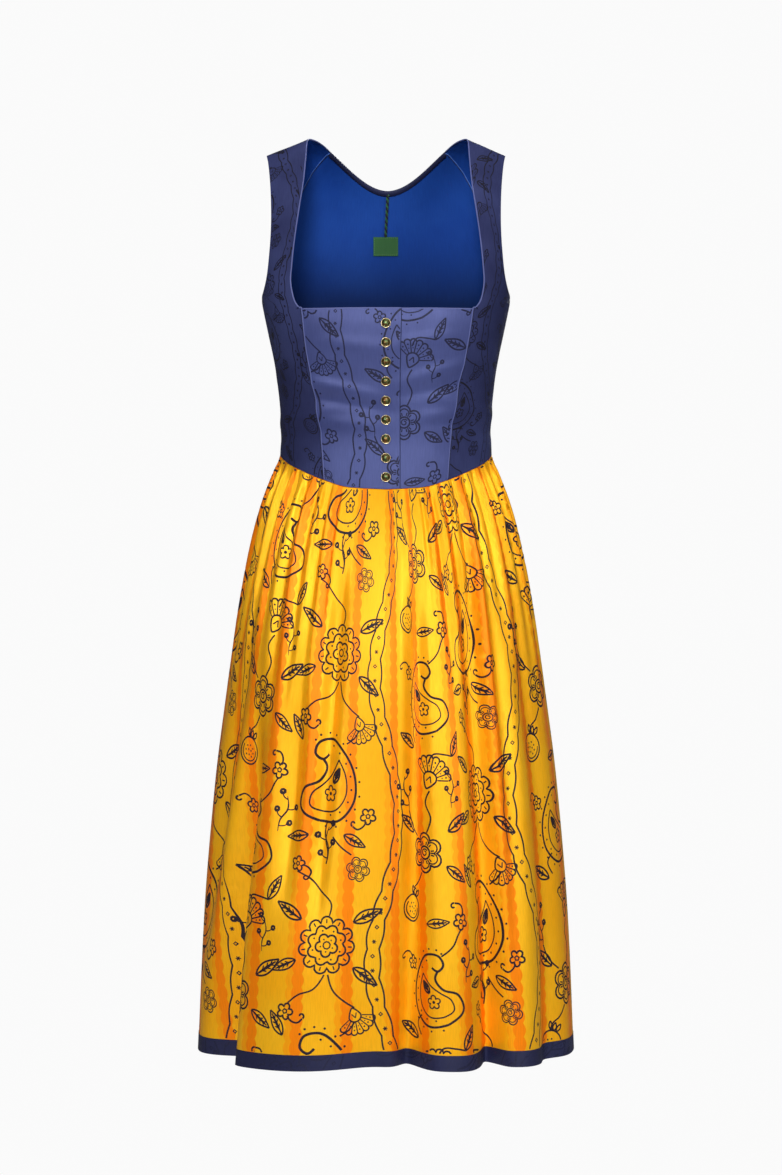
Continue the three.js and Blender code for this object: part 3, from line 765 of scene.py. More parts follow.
def button_shader():
    """Aged metal with green and brown in its hollows, and a brighter rim."""
    shader = Shader("button_metal", 0.32, metallic=1.0)
    patina = shader.ramp(shader.noise(shader.place(), PATINA_SCALE, 4.0), 0.38, 0.62)
    aged = shader.blend(patina, linear((122, 88, 52)), linear((78, 96, 62)))
    radius, _ = shader.cloth_place()
    shader.colour(shader.blend(shader.ramp(radius, *BRIGHT_RIM), aged, linear((196, 180, 142))))
    shader.bump(shader.noise(shader.place(), DENT_SCALE, 3.0), DENT_DEPTH, 0.6)
    return shader


button_metal = button_shader()


# Meshes
def linked(name, data):
    made = bpy.data.objects.new(name, data)
    bpy.context.scene.collection.objects.link(made)
    return made


def add_object(name, points, faces, shaders, slots=None, cloth=None, normals=None, bake=None):
    """A mesh from points in millimetres. cloth gives each point's place on the cloth."""
    mesh = bpy.data.meshes.new(name)
    mesh.from_pydata((np.asarray(points) * METRE).tolist(), [], faces)
    for shader in shaders:
        mesh.materials.append(shader.material)
    mesh.polygons.foreach_set("use_smooth", [True] * len(mesh.polygons))
    if slots is not None:
        mesh.polygons.foreach_set("material_index", slots)
    loops = np.empty(len(mesh.loops), int)
    mesh.loops.foreach_get("vertex_index", loops)
    if cloth is not None:
        layer = mesh.uv_layers.new(name="cloth")
        layer.data.foreach_set("uv", (np.asarray(cloth)[loops] * METRE).ravel())
    if bake is not None:
        layer = mesh.uv_layers.new(name="OFBake")
        layer.data.foreach_set("uv", bake.ravel())
    mesh.validate()
    if normals is not None:
        mesh.normals_split_custom_set_from_vertices(normals.tolist())
    mesh.update()
    return linked(name, mesh)


pieces = {}


def keep(name, piece, stands_for=None):
    """Keeps a new piece by name, and hides the solid that it stands for."""
    if stands_for:
        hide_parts(stands_for)
    pieces[name] = piece


def run_along(path):
    """Lengths along a line from its first point."""
    return np.concatenate([[0], np.cumsum(np.linalg.norm(np.diff(path, axis=0), axis=-1))])


def measured(points):
    """Places on the cloth: along the rows, and up from the first row."""
    along = np.linalg.norm(np.diff(points, axis=1), axis=-1)
    u = np.concatenate([np.zeros((len(points), 1)), np.cumsum(along, axis=1)], axis=1)
    up = np.linalg.norm(np.diff(points, axis=0), axis=-1)
    v = np.concatenate([np.zeros((1, points.shape[1])), np.cumsum(up, axis=0)])
    return u, v


def grid_faces(rows, columns, first, flipped=False):
    index = first + np.arange(rows * columns).reshape(rows, columns)
    a, b, c, d = index[:-1, :-1], index[:-1, 1:], index[1:, 1:], index[1:, :-1]
    quads = (a, d, c, b) if flipped else (a, b, c, d)
    return np.stack(quads, -1).reshape(-1, 4)


def rim_loop(rows, columns):
    """The border of a grid, anticlockwise from its first point."""
    index = np.arange(rows * columns).reshape(rows, columns)
    return np.concatenate([index[0, :-1], index[:-1, -1], index[-1, :0:-1], index[:0:-1, 0]])


# Where the face, the inner face and the edges lie in the map for baking
FACE_SIZE, FACE_CORNER = (0.98, 0.58), (0.01, 0.01)
INNER_SIZE, INNER_CORNER = (0.98, 0.36), (0.01, 0.61)
RIM_START, RIM_END, RIM_LOW, RIM_HIGH = 0.01, 0.99, 0.98, 0.99


def add_sheet(node, outer, normals, wall, places, shaders, strokes=(), close=False, ending="cloth"):
    """A closed sheet of cloth for a node: its printed face, its inner face and its edges.

    shaders are those of the face, the inner face and the ink.
    """
    rows, columns = outer.shape[:2]
    cloth = np.stack(places, -1).reshape(-1, 2)
    face_points = outer.reshape(-1, 3)
    face_normals = normals.reshape(-1, 3)
    face_cloth = cloth
    if strokes:
        face_cloth, faces, inked = printed_faces(*places, strokes, close)
        spots = located(*places, face_cloth[rows * columns:])
        face_points = np.concatenate([face_points, sampled(outer, spots)])
        face_normals = to_unit(np.concatenate([face_normals, sampled(normals, spots)]))
    else:
        faces = grid_faces(rows, columns, 0).tolist()
        inked = np.zeros(len(faces), bool)
    front = len(face_points)
    inner_faces = grid_faces(rows, columns, front, flipped=True)
    border = rim_loop(rows, columns)
    following = np.roll(border, -1)
    rim = np.stack([border, front + border, front + following, following], -1)
    points = np.concatenate([face_points, (outer - normals * wall).reshape(-1, 3)])
    all_normals = np.concatenate([face_normals, -normals.reshape(-1, 3)])
    all_cloth = np.concatenate([face_cloth, cloth])
    spot = (all_cloth - cloth.min(0)) / np.ptp(cloth, axis=0)
    face_bake = spot * FACE_SIZE + FACE_CORNER
    inner_bake = spot * INNER_SIZE + INNER_CORNER
    steps = np.linspace(RIM_START, RIM_END, len(border) + 1)
    ends = zip(steps, steps[1:])
    rim_bake = [[(a, RIM_LOW), (a, RIM_HIGH), (b, RIM_HIGH), (b, RIM_LOW)] for a, b in ends]
    bake = np.concatenate([
        face_bake[np.concatenate(faces)],
        inner_bake[inner_faces.ravel()],
        np.array(rim_bake).reshape(-1, 2),
    ])
    inner_slots = np.full(len(inner_faces), 1)
    slots = np.concatenate([np.where(inked, 2, 0), inner_slots, np.zeros(len(rim), int)])
    all_faces = [*faces, *inner_faces.tolist(), *rim.tolist()]
    used = shaders if inked.any() else shaders[:2]
    made = add_object(f"{node}_{ending}", points, all_faces, used, slots, all_cloth, all_normals, bake)
    keep(node, made, node)


def ring_faces(rings, around, flipped=False):
    """Faces between rings of points, each ring closed on itself."""
    faces = []
    for k in range(rings - 1):
        for i in range(around):
            a, b = k * around + i, k * around + (i + 1) % around
            quad = (a, b, b + around, a + around)
            faces.append((quad[0], *quad[:0:-1]) if flipped else quad)
    return faces


def end_faces(rings, around, flipped=False):
    first = tuple(range(around))
    last = tuple(range((rings - 1) * around, rings * around))
    return [first, last[::-1]] if flipped else [first[::-1], last]


TUBE_SIDES = 10
# A direction that no tube here runs along
SLANTED = (0.3, 0.5, 0.8)


def tube(path, radius, sides=TUBE_SIDES):
    """Points, faces and places on the cloth of a round tube along a path."""
    ways = to_unit(np.gradient(path, axis=0))
    side = np.cross(ways[0], SLANTED)
    turns = evenly(sides)
    points = []
    for place, way in zip(path, ways):
        side = to_unit(side - way * (side @ way))
        points.append(place + radius * directions(turns) @ np.array([side, np.cross(way, side)]))
    faces = ring_faces(len(path), sides) + end_faces(len(path), sides)
    about = np.tile(np.radians(turns) * radius, len(path))
    cloth = np.stack([about, np.repeat(run_along(path), sides)], -1)
    return np.concatenate(points), faces, cloth


def merged(tubes):
    """Several tubes as one: points, faces, places on the cloth, and each face's tube."""
    points, faces, cloth, owners = [], [], [], []
    first = 0
    for owner, (tube_points, tube_faces, tube_cloth) in enumerate(tubes):
        points.append(tube_points)
        cloth.append(tube_cloth)
        faces += [tuple(first + corner for corner in face) for face in tube_faces]
        owners += [owner] * len(tube_faces)
        first += len(tube_points)
    return np.concatenate(points), faces, np.concatenate(cloth), owners


def add_trim(name, path, radius, shader):
    points, faces, cloth = tube(path, radius)
    keep(name, add_object(name, points, faces, [shader], cloth=cloth))


# Ink on the cloth
def cell(grid, spots):
    """The four corners of a grid round each spot, and how far it lies between them."""
    j, i = spots
    j0 = np.clip(j.astype(int), 0, grid.shape[0] - 2)
    i0 = np.clip(i.astype(int), 0, grid.shape[1] - 2)
    low, high = (grid[j0, i0], grid[j0, i0 + 1]), (grid[j0 + 1, i0], grid[j0 + 1, i0 + 1])
    return *low, *high, (j - j0)[:, None], (i - i0)[:, None]


def sampled(grid, spots):
    """Values of a grid at fractional rows and columns."""
    a, b, c, d, s, t = cell(grid, spots)
    return mix(mix(a, b, t), mix(c, d, t), s)


def crossed(a, b):
    return a[:, 0] * b[:, 1] - a[:, 1] * b[:, 0]


STEPS_A_WALK = 14
WALKS = 5
GRID_SPREAD = 6
MISSED = 0.001


def walked(layers, places, starts):
    """Steps from grid points to places on the cloth: rows, columns and what is missed."""
    rows, columns = layers.shape[:2]
    j, i = starts // columns * 1.0, starts % columns * 1.0
    for _ in range(STEPS_A_WALK):
        a, b, c, d, s, t = cell(layers, (j, i))
        miss = places - mix(mix(a, b, t), mix(c, d, t), s)
        by_j = mix(c - a, d - b, t)
        by_i = mix(b - a, d - c, s)
        area = crossed(by_j, by_i)
        j = np.clip(j + crossed(miss, by_i) / area, 0, rows - 1)
        i = np.clip(i + crossed(by_j, miss) / area, 0, columns - 1)
    return j, i, np.linalg.norm(sampled(layers, (j, i)) - places, axis=-1)


def located(u, v, places):
    """Where places on the cloth lie in a grid, as fractional rows and columns.

    Each walk starts at a grid point near the place, and a place that is missed
    is tried again from another one.
    """
    tree = KDTree(u.size)
    for k, (across, up) in enumerate(zip(u.flat, v.flat)):
        tree.insert((across, up, 0), k)
    tree.balance()
    layers = np.stack([u, v], -1)
    found = [tree.find((across, up, 0))[1:] for across, up in places]
    starts = np.array([index for index, _ in found])
    close = np.array([distance for _, distance in found]) < GRID_SPREAD
    j, i, missed = walked(layers, places, starts)
    for walk in range(1, WALKS):
        again = np.nonzero(close & (missed > MISSED))[0]
        if not len(again):
            break
        others = [tree.find_n((*places[k], 0), 2 * walk + 1)[-1][1] for k in again]
        new_j, new_i, new_missed = walked(layers, places[again], np.array(others))
        better = new_missed < missed[again]
        kept = again[better]
        j[kept], i[kept], missed[kept] = new_j[better], new_i[better], new_missed[better]
    return j, i


SMALLEST_AREA = 0.002
OFF_CLOTH = 0.01
EDGE_SHARE = 0.02


def ink_triangles(strokes):
    """Every ink shape as triangles whose corners run anticlockwise."""
    fans = []
    for stroke in strokes:
        first = np.repeat(stroke[:1], len(stroke) - 2, axis=0)
        fans.append(np.stack([first, stroke[1:-1], stroke[2:]], 1))
    corners = np.concatenate(fans)
    area = crossed(corners[:, 1] - corners[:, 0], corners[:, 2] - corners[:, 0])
    corners[area < 0] = corners[area < 0][:, ::-1]
    return corners[np.abs(area) > SMALLEST_AREA]


def on_cloth(corners, u, v):
    """The ink triangles that don't cross the edge of the cloth."""
    rows, columns = u.shape
    places = corners.reshape(-1, 2)
    j, i = located(u, v, places)
    off = np.linalg.norm(sampled(np.stack([u, v], -1), (j, i)) - places, axis=-1)
    low, far = EDGE_SHARE, 1 + EDGE_SHARE
    outside = (off > OFF_CLOTH) | (j < low) | (j > rows - far) | (i < low) | (i > columns - far)
    return corners[~outside.reshape(-1, 3).any(-1)]


BLOCK_ROWS = 6
BLOCK_COLUMNS = 22
CUT_ACCURACY = 1e-5
FACES_INSIDE = 1


def grid_lines(rows, columns):
    """The edges along the rows and columns inside a block of the grid."""
    index = np.arange(rows * columns).reshape(rows, columns)
    along = np.stack([index[1:-1, :-1], index[1:-1, 1:]], -1).reshape(-1, 2)
    up = np.stack([index[:-1, 1:-1], index[1:, 1:-1]], -1).reshape(-1, 2)
    return np.concatenate([along, up]).tolist()


def printed_faces(u, v, strokes, close):
    """Faces of a piece of cloth with its ink lines cut into them.

    Returns the places of all points, the faces, and which of them are ink. The
    cloth is cut block by block, which is far quicker than all at once. close
    keeps the edges of the grid, for a piece whose rows lean.
    """
    rows, columns = u.shape
    grid = np.stack([u, v], -1).reshape(-1, 2)
    corners = on_cloth(ink_triangles(strokes), u, v)
    lows, highs = corners.min(1), corners.max(1)
    index = np.arange(rows * columns).reshape(rows, columns)
    places, numbers = [], {}
    faces, inked = [], []
    for j0 in range(0, rows - 1, BLOCK_ROWS):
        for i0 in range(0, columns - 1, BLOCK_COLUMNS):
            block = index[j0:j0 + BLOCK_ROWS + 1, i0:i0 + BLOCK_COLUMNS + 1]
            own = block.ravel()
            low, high = grid[own].min(0), grid[own].max(0)
            near = (lows < high).all(-1) & (highs > low).all(-1)
            if not near.any():
                quads = grid_faces(*block.shape, 0)
                faces += own[quads].tolist()
                inked += [False] * len(quads)
                continue
            points = grid[own].tolist()
            polygons = [rim_loop(*block.shape).tolist()]
            for triangle in corners[near].tolist():
                polygons.append(list(range(len(points), len(points) + 3)))
                points += triangle
            lines = grid_lines(*block.shape) if close else []
            made = delaunay_2d_cdt(points, lines, polygons, FACES_INSIDE, CUT_ACCURACY, True)
            new_places, _, triangles, came_from, _, face_from = made
            names = []
            for place, sources in zip(new_places, came_from):
                kept = [source for source in sources if source < len(own)]
                if kept:
                    names.append(int(own[kept[0]]))
                    continue
                key = (round(place[0], 3), round(place[1], 3))
                if key not in numbers:
                    numbers[key] = len(grid) + len(places)
                    places.append(tuple(place))
                names.append(numbers[key])
            for triangle, sources in zip(triangles, face_from):
                named = [names[k] for k in triangle]
                if 0 in sources and len(set(named)) == 3:
                    faces.append(named)
                    inked.append(len(sources) > 1)
    return np.concatenate([grid, np.array(places)]), faces, np.array(inked)


# The printed design: ordinary flowers, leaves, a paisley and a garland, as ink
# polygons in millimetres on the cloth, u across and v up
LINE = 1.9
FINE = 1.4
HEAVY = 3.2
LINE_ACCURACY = 1e-6


def bent(*corners):
    """A smooth line through a few corners."""
    return spline(np.array(corners, float)[:, None, :], 8)[:, 0]


def arc(centre, radius, start, end, squash=1.0):
    steps = max(4, int(abs(end - start) * radius / 160))
    return centre + radius * directions(np.linspace(start, end, steps + 1)) * (1, squash)


def circle(centre, radius):
    return arc(centre, radius, 0, 360)


def curl(centre, radius, start, turns):
    """A hook that winds inwards."""
    t = np.linspace(0, 1, 13)
    return centre + radius * (1 - 0.62 * t)[:, None] * directions(start + 360 * turns * t)


def scallops(radius, count, depth, sharp=0.7, phase=0.0, points=7):
    """A closed ring of petals round the origin."""
    turn = np.linspace(0, 360, count * points + 1)
    lobe = np.abs(np.sin(np.radians(count * turn / 2) + phase)) ** sharp
    return radius * (1 - depth + depth * lobe)[:, None] * directions(turn)


def ribbon(line, width, taper=False):
    """Quads along a line."""
    line = np.asarray(line, float)
    gaps = np.linalg.norm(np.diff(line, axis=0), axis=-1)
    line = line[np.concatenate([[True], gaps > LINE_ACCURACY])]
    way = to_unit(np.diff(line, axis=0))
    closed = np.linalg.norm(line[0] - line[-1]) < LINE_ACCURACY
    before = np.concatenate([way[-1:] if closed else way[:1], way])
    after = np.concatenate([way, way[:1] if closed else way[-1:]])
    both = before + after
    length = np.maximum(np.linalg.norm(both, axis=-1, keepdims=True), LINE_ACCURACY)
    side = np.stack([-both[:, 1], both[:, 0]], -1) / length
    meet = (before * after).sum(-1)
    half = width / 2 * np.minimum(1 / np.sqrt(np.maximum((1 + meet) / 2, 0.2)), 1.6)
    if taper:
        run = run_along(line)
        half = half * (0.35 + 0.65 * np.sin(np.pi * np.clip(run / run[-1], 0.04, 0.96)))
    left, right = line + side * half[:, None], line - side * half[:, None]
    return list(np.stack([right[:-1], right[1:], left[1:], left[:-1]], 1))


def dots(places, radius, corners=7):
    outline = radius * directions(evenly(corners))
    return [np.array(place) + outline for place in places]


def placed(shapes, place, turn=0.0, size=1.0, flip=False):
    """Ink polygons turned, sized and moved to a place."""
    matrix = size * directions((turn, turn + 90))
    mirror = (-1, 1) if flip else (1, 1)
    return [(shape * mirror) @ matrix + place for shape in shapes]


def around(shapes, turns):
    """Ink polygons repeated round the origin."""
    return [shape for turn in turns for shape in placed(shapes, (0, 0), turn)]


def peony():
    shapes = ribbon(scallops(28, 11, 0.2, 0.6), LINE)
    shapes += ribbon(scallops(20, 8, 0.26, 0.7, 0.6), LINE)
    shapes += ribbon(scallops(11.5, 5, 0.3, 0.8), LINE)
    shapes += ribbon(circle((0, 0), 3.6), FINE)
    shapes += around(ribbon([(21.5, 0), (25.5, 0)], HEAVY, True), evenly(11, 180 / 11))
    shapes += dots(14.8 * directions(evenly(8, 8)), 1.0)
    return shapes + dots(6.4 * directions(evenly(5, 36)), 0.9)


def rose():
    shapes = ribbon(scallops(19, 6, 0.28, 0.75), LINE)
    shapes += ribbon(scallops(15.2, 6, 0.3, 0.75), FINE)
    shapes += ribbon(circle((0, 0), 6.2), LINE)
    shapes += ribbon(curl((0, 0), 4, 30, 1.2), FINE)
    petal = ribbon([(7.4, 0), (12.2, 0)], HEAVY, True)
    petal += ribbon([(7.4, 1.8), (10.8, 2.6)], FINE) + ribbon([(7.4, -1.8), (10.8, -2.6)], FINE)
    return shapes + around(petal, evenly(6))


def small_flower():
    shapes = ribbon(scallops(8.2, 5, 0.42, 0.8), LINE)
    shapes += ribbon(circle((0, 0), 2.3), FINE)
    shapes += ribbon(bent((0, -5.5), (1, -11), (6, -16), (12, -15)), LINE)
    return shapes + ribbon(curl((12.5, -12), 3.1, -90, 0.7), LINE)


def leaf(length=30, width=11):
    t = np.linspace(0, 1, 11)
    half = width / 2 * np.sin(np.pi * t ** 0.8) * (1 + 0.14 * np.sin(10 * np.pi * t))
    left = np.stack([t * length, half], -1)
    shapes = ribbon(left, LINE) + ribbon(left * (1, -1), LINE)
    shapes += ribbon([(1, 0), (length * 0.5, 0), (length * 0.86, 0)], HEAVY, True)
    for k in (0.3, 0.48, 0.66):
        x = k * length
        reach = width * 0.3 * math.sin(math.pi * k ** 0.8)
        shapes += ribbon([(x, 0.6), (x + 3.2, reach)], FINE)
        shapes += ribbon([(x, -0.6), (x + 3.2, -reach)], FINE)
    return shapes


def paisley():
    """A drop whose tip curls over, with a scalloped lining and dots."""
    belly = (0, -30), (20, -24), (29, -6), (24, 14), (9, 30)
    outline = bent(*belly, (-8, 37), (-19, 31), (-19, 22), (-12, 19), (-8, 24))
    back = bent((-12, 19), (-7, 14), (-9, 2), (-20, -8), (-20, -22), (0, -30))
    inner = bent((1, -22), (14, -17), (20, -4), (16, 11), (5, 23))
    inner_back = bent((5, 23), (1, 10), (-6, -1), (-12, -10), (-11, -19), (1, -22))
    shapes = ribbon(outline, LINE * 1.15) + ribbon(back, LINE * 1.15)
    shapes += ribbon(inner, FINE) + ribbon(inner_back, FINE)
    shapes += dots(outline[4:44:5] * 0.84 + (0, 1), 1.0) + dots(outline[2:52:4] * 1.13, 1.05)
    shapes += placed(ribbon(scallops(6.5, 5, 0.4, 0.8), FINE) + dots([(0, 0)], 1.6), (4, -6))
    return shapes + placed(leaf(14, 6), (5, 3), 78)


def fan():
    """A half open carnation on its stem."""
    turn = np.linspace(22, 158, 50)
    r = 25 * (1 - 0.12 + 0.12 * np.abs(np.sin(np.linspace(0, 7 * np.pi, 50))) ** 0.5)
    shapes = ribbon(r[:, None] * directions(turn), LINE)
    shapes += around(ribbon([(9, 0), (15, 0), (21.5, 0)], FINE), np.linspace(22, 158, 8))
    between = directions(22 + (np.arange(7) + 0.5) * 136 / 7)
    shapes += dots(between * 19, 1.1) + dots(between * 14.5, 0.8)
    shapes += ribbon(arc((0, 2), 7.5, 0, 180, 0.9), LINE)
    shapes += ribbon(bent((-7.5, 2), (-4, -5), (0, -9), (4, -5), (7.5, 2)), LINE)
    return shapes + ribbon([(-3, -2), (0, 4)], FINE) + ribbon([(3, -2), (0, 4)], FINE)


def pomegranate():
    shapes = ribbon(circle((0, 0), 15), LINE) + ribbon(arc((0, 0), 11.5, -200, 20), FINE)
    seeds = [(-5, 4), (0, 6), (5, 4), (-6.5, -1), (-2, 0.5), (2.5, 0.5), (6.5, -1)]
    shapes += dots(seeds + [(-4, -5.5), (0.4, -4.5), (4.6, -5.5)], 1.15)
    for x in (-7, 0, 7):
        for way in (-2.4, 2.4):
            shapes += ribbon(bent((x * 0.5, 14.6), (x * 0.8 + way, 19), (x * 1.1, 24)), LINE)
    return shapes


def twig():
    stem = bent((0, 0), (3, 12), (1, 25), (7, 38))
    shapes = ribbon(stem, LINE, True)
    bud = ribbon(scallops(2.6, 1, 0.35, 1.0, points=8), HEAVY * 0.8)
    for place, way in zip(stem[4::6], (-1, 1, -1, 1)):
        tip = place + (way * 8.5, 6.5)
        shapes += ribbon(bent(place, place + (way * 4.5, 1.5), tip), FINE) + placed(bud, tip)
    return shapes


TILE_WIDTH = 250
TILE_HEIGHT = 320
GARLAND_SWAY = 16
GARLAND_LOBES = 10
GARLAND_STARS = 20


def sway(v):
    return GARLAND_SWAY * np.sin(2 * np.pi * v / TILE_HEIGHT)


def garland():
    """Two scalloped lines that sway up the cloth, with rings and stars between."""
    v = np.linspace(0, TILE_HEIGHT, 121)
    edge = 6.2 + 2.6 * np.abs(np.sin(np.pi * GARLAND_LOBES * v / TILE_HEIGHT))
    shapes = ribbon(np.stack([sway(v) - edge, v], -1), LINE)
    shapes += ribbon(np.stack([sway(v) + edge, v], -1), LINE)
    for k in range(GARLAND_STARS):
        at = (k + 0.5) * TILE_HEIGHT / GARLAND_STARS
        centre = np.array([sway(at), at])
        if k % 2:
            shapes += ribbon(circle(centre, 1.9), FINE * 0.8)
            continue
        for way in 2.4 * directions((0, 60, 120)):
            shapes += ribbon([centre - way, centre + way], FINE * 0.8)
    return shapes


# Motif, place, turn, size, and True where it is flipped
DESIGN = [
    (peony, (58, 262), 10, 1.12),
    (paisley, (50, 116), -14, 1.34),
    (paisley, (204, 208), 24, 1.16, True),
    (fan, (206, 122), -24, 1.1),
    (rose, (196, 42), 0, 1.15),
    (pomegranate, (166, 300), -20, 1.0),
    (fan, (90, 184), 200, 0.9),
    (rose, (92, 24), 15, 0.72),
    (small_flower, (14, 190), 30, 1.1),
    (small_flower, (103, 82), -20, 1.1, True),
    (small_flower, (236, 288), 160, 1.1),
    (small_flower, (20, 30), 80, 1.0, True),
    (small_flower, (166, 240), 200, 0.95),
    (leaf, (88, 236), -38, 1.1),
    (leaf, (88, 286), 24, 1.15),
    (leaf, (28, 290), 150, 1.15),
    (leaf, (24, 246), 205, 1.0),
    (leaf, (12, 164), 120, 1.0),
    (leaf, (226, 66), 34, 1.15),
    (leaf, (172, 64), 140, 1.05),
    (leaf, (222, 28), -36, 1.0),
    (leaf, (236, 148), 64, 1.0),
    (leaf, (176, 158), 150, 1.1),
    (leaf, (196, 284), 8, 0.9),
    (leaf, (30, 62), 190, 1.0),
    (leaf, (74, 62), -28, 1.0),
    (twig, (52, 30), 8, 1.05),
    (twig, (240, 222), -20, 1.0, True),
    (twig, (160, 88), 20, 1.0),
    (twig, (232, 92), -12, 0.9, True),
]
STEMS = [
    ((60, 230), (66, 212), (78, 200), (90, 192)),
    ((56, 230), (44, 214), (28, 208), (16, 198)),
    ((74, 162), (84, 168), (90, 176)),
    ((206, 110), (200, 98), (206, 80), (200, 64)),
    ((190, 20), (180, 8), (170, 2), (166, -6)),
    ((212, 250), (226, 262), (232, 274), (236, 280)),
    ((50, 76), (48, 62), (54, 48), (52, 30)),
    ((184, 184), (176, 176), (182, 162)),
    ((60, 294), (62, 306), (46, 322), (32, 336), (20, 342)),
    ((60, 60), (72, 48), (84, 40)),
    ((206, 140), (212, 150), (226, 150), (236, 148)),
    ((182, 60), (168, 72), (160, 88)),
]


def tile():
    shapes = placed(garland(), (TILE_WIDTH / 2, 0))
    for motif, *how in DESIGN:
        shapes += placed(motif(), *how)
    for stem in STEMS:
        shapes += ribbon(bent(*stem), LINE)
    return shapes


SKIRT_PRINT_SCALE = 1.15
FRONT_PRINT_SCALE = 0.95
SIDE_PRINT_SCALE = 0.66


def repeated(u, v, start, scale=SKIRT_PRINT_SCALE):
    """The design all over a piece of cloth, each column dropped by half."""
    width, height = np.ptp(u), np.ptp(v)
    one = [shape * scale for shape in tile()]
    wide, high = TILE_WIDTH * scale, TILE_HEIGHT * scale
    shapes = []
    for i in range(-1, int(width / wide) + 2):
        for j in range(-2, int(height / high) + 2):
            move = (start[0] + i * wide, start[1] + (j + (i % 2) / 2) * high)
            for shape in one:
                moved = shape + move
                if (moved > 0).all() and (moved < (width, height)).all():
                    shapes.append(moved + (u.min(), v.min()))
    return shapes


# Pieces of the bodice
PRINT_OFFSETS = {
    "front_right": (-60, -20),
    "front_left": (-150, 40),
    "side_front_left": (-20, 10),
    "side_front_right": (-140, -30),
    "side_back_left": (-90, -80),
    "side_back_right": (-10, -60),
    "centre_back": (-30, -110),
}


def bodice_place(name, grid):
    """Places on the cloth, with u counted so that the pattern hangs straight on the piece."""
    u, v = measured(grid)
    whole = u[:, -1]
    starts = {
        "centre_back": -whole / 2,
        "side_back_right": -whole,
        "side_back_left": 0 * whole,
        "side_front_right": grid[:, -1, 0] - whole,
    }
    return u + starts.get(name, grid[:, 0, 0])[:, None], v


for name, grid in outer_grids.items():
    out = normals_of(grid)
    places = bodice_place(name, grid)
    at_side = "side" in name
    lined = not name.startswith("front")
    # The side panels take the darker copies of the navy and its ink, which are painted shade.
    outer, ink = (navy_painted_shade_side, side_ink_painted_shade) if at_side else (navy, bodice_ink)
    shaders = [outer, outer if lined else royal, ink]
    scale = SIDE_PRINT_SCALE if at_side else FRONT_PRINT_SCALE
    strokes = repeated(*places, PRINT_OFFSETS[name], scale)
    add_sheet(name, grid, out, WALL, places, shaders, strokes, close=True)
    if lined:
        inside = grid - out * (WALL + LAYER_GAP)
        add_sheet(f"lining_{name}", inside, out, LINING_WALL, places, [royal, royal])

# The skirt and its hem band, which stands a little proud of the skirt
BAND_PROUD = 0.5
BAND_WALL = SKIRT_WALL + 1
BAND_PRINT_OFFSET = (-90, -130)
SKIRT_HALVES = [
    ("front", skirt_front, band_front, (-40, 20)),
    ("back", skirt_back, band_back, (-120, 90)),
]
for side, grid, band_grid, offset in SKIRT_HALVES:
    at_hem, _ = measured(grid[:1])
    u = np.repeat(at_hem, len(grid), axis=0)
    v = np.repeat((HEM_BAND_TOP - rows_down) * SKIRT_LENGTH, grid.shape[1], axis=1)
    out = normals_of(grid)
    strokes = repeated(u, v, offset)
    shaders = [gold, gold, skirt_ink]
    add_sheet(f"skirt_{side}", grid, out, SKIRT_WALL, (u, v), shaders, strokes)
    out = normals_of(band_grid)
    places = measured(band_grid)
    proud = band_grid + out * BAND_PROUD
    strokes = repeated(*places, BAND_PRINT_OFFSET)
    shaders = [band_navy_painted_shade, band_navy_painted_shade, bodice_ink]
    add_sheet(f"hem_band_{side}", proud, out, BAND_WALL, places, shaders, strokes)


# Buttons: radius and height of each ring from the underside to the top
BUTTON_PROFILE = [
    (5.2, 0.0), (5.75, 0.3), (6.0, 0.9), (6.0, 1.6), (5.8, 2.05), (5.5, 2.1), (5.25, 1.85),
    (5.0, 1.9), (4.6, 2.4), (3.7, 3.2), (2.6, 3.7), (1.4, 3.93), (0.5, 4.0),
]
BUTTON_TOP = 4.0
BUTTON_LIFT = 0.3
BUTTON_SIDES = 48
PETALS = 8
PETAL_HEIGHT = 0.22
PETAL_RADIUS = 2.7
PETAL_WIDTH = 1.1


def add_button(number):
    """A dome in a rim, with a ring of petals raised on the dome."""
    level = mix(BUTTON_TOP_Z, BUTTON_BOTTOM_Z, (number - 1) / (BUTTON_COUNT - 1))
    place = torso_point(0.0, level)
    across = torso_point(0.05, level) - torso_point(-0.05, level)
    rising = torso_point(0.0, level + 0.05) - torso_point(0.0, level - 0.05)
    out = to_unit(np.cross(across, rising))
    side = np.array([1.0, 0, 0])
    turns = evenly(BUTTON_SIDES)
    ways = directions(turns) @ np.array([side, np.cross(out, side)])
    petals = np.cos(np.radians(PETALS * turns))[:, None]
    points = []
    for radius, height in BUTTON_PROFILE:
        swell = PETAL_HEIGHT * np.exp(-((radius - PETAL_RADIUS) / PETAL_WIDTH) ** 2)
        points.append(place + radius * ways + out * (BUTTON_LIFT + height + swell * petals))
    points.append([place + out * BUTTON_LIFT, place + out * (BUTTON_LIFT + BUTTON_TOP)])
    points = np.concatenate(points)
    faces = ring_faces(len(BUTTON_PROFILE), BUTTON_SIDES)
    low, high = len(points) - 2, len(points) - 1
    last = low - BUTTON_SIDES
    for a in range(BUTTON_SIDES):
        b = (a + 1) % BUTTON_SIDES
        faces += [(b, a, low), (last + a, last + b, high)]
    radii = np.append(np.repeat([radius for radius, _ in BUTTON_PROFILE], BUTTON_SIDES), [0, 0])
    cloth = np.stack([radii, 0 * radii], -1)
    name = f"button_{number}"
    made = add_object(f"{name}_dome", points, faces, [button_metal], cloth=cloth)
    keep(name, made, name)


for number in range(1, BUTTON_COUNT + 1):
    add_button(number)


# The label on the lining, with a line of stitches inside its edge
ON_LINING = WALL + LAYER_GAP + LINING_WALL + 0.7
LABEL_LEFT = -18.5
LABEL_RIGHT = 13.5
LABEL_TOP = -111
LABEL_BOTTOM = -135.5
LABEL_WALL = 0.9
STITCH_RADIUS = 0.32
STITCH_SIDES = 6


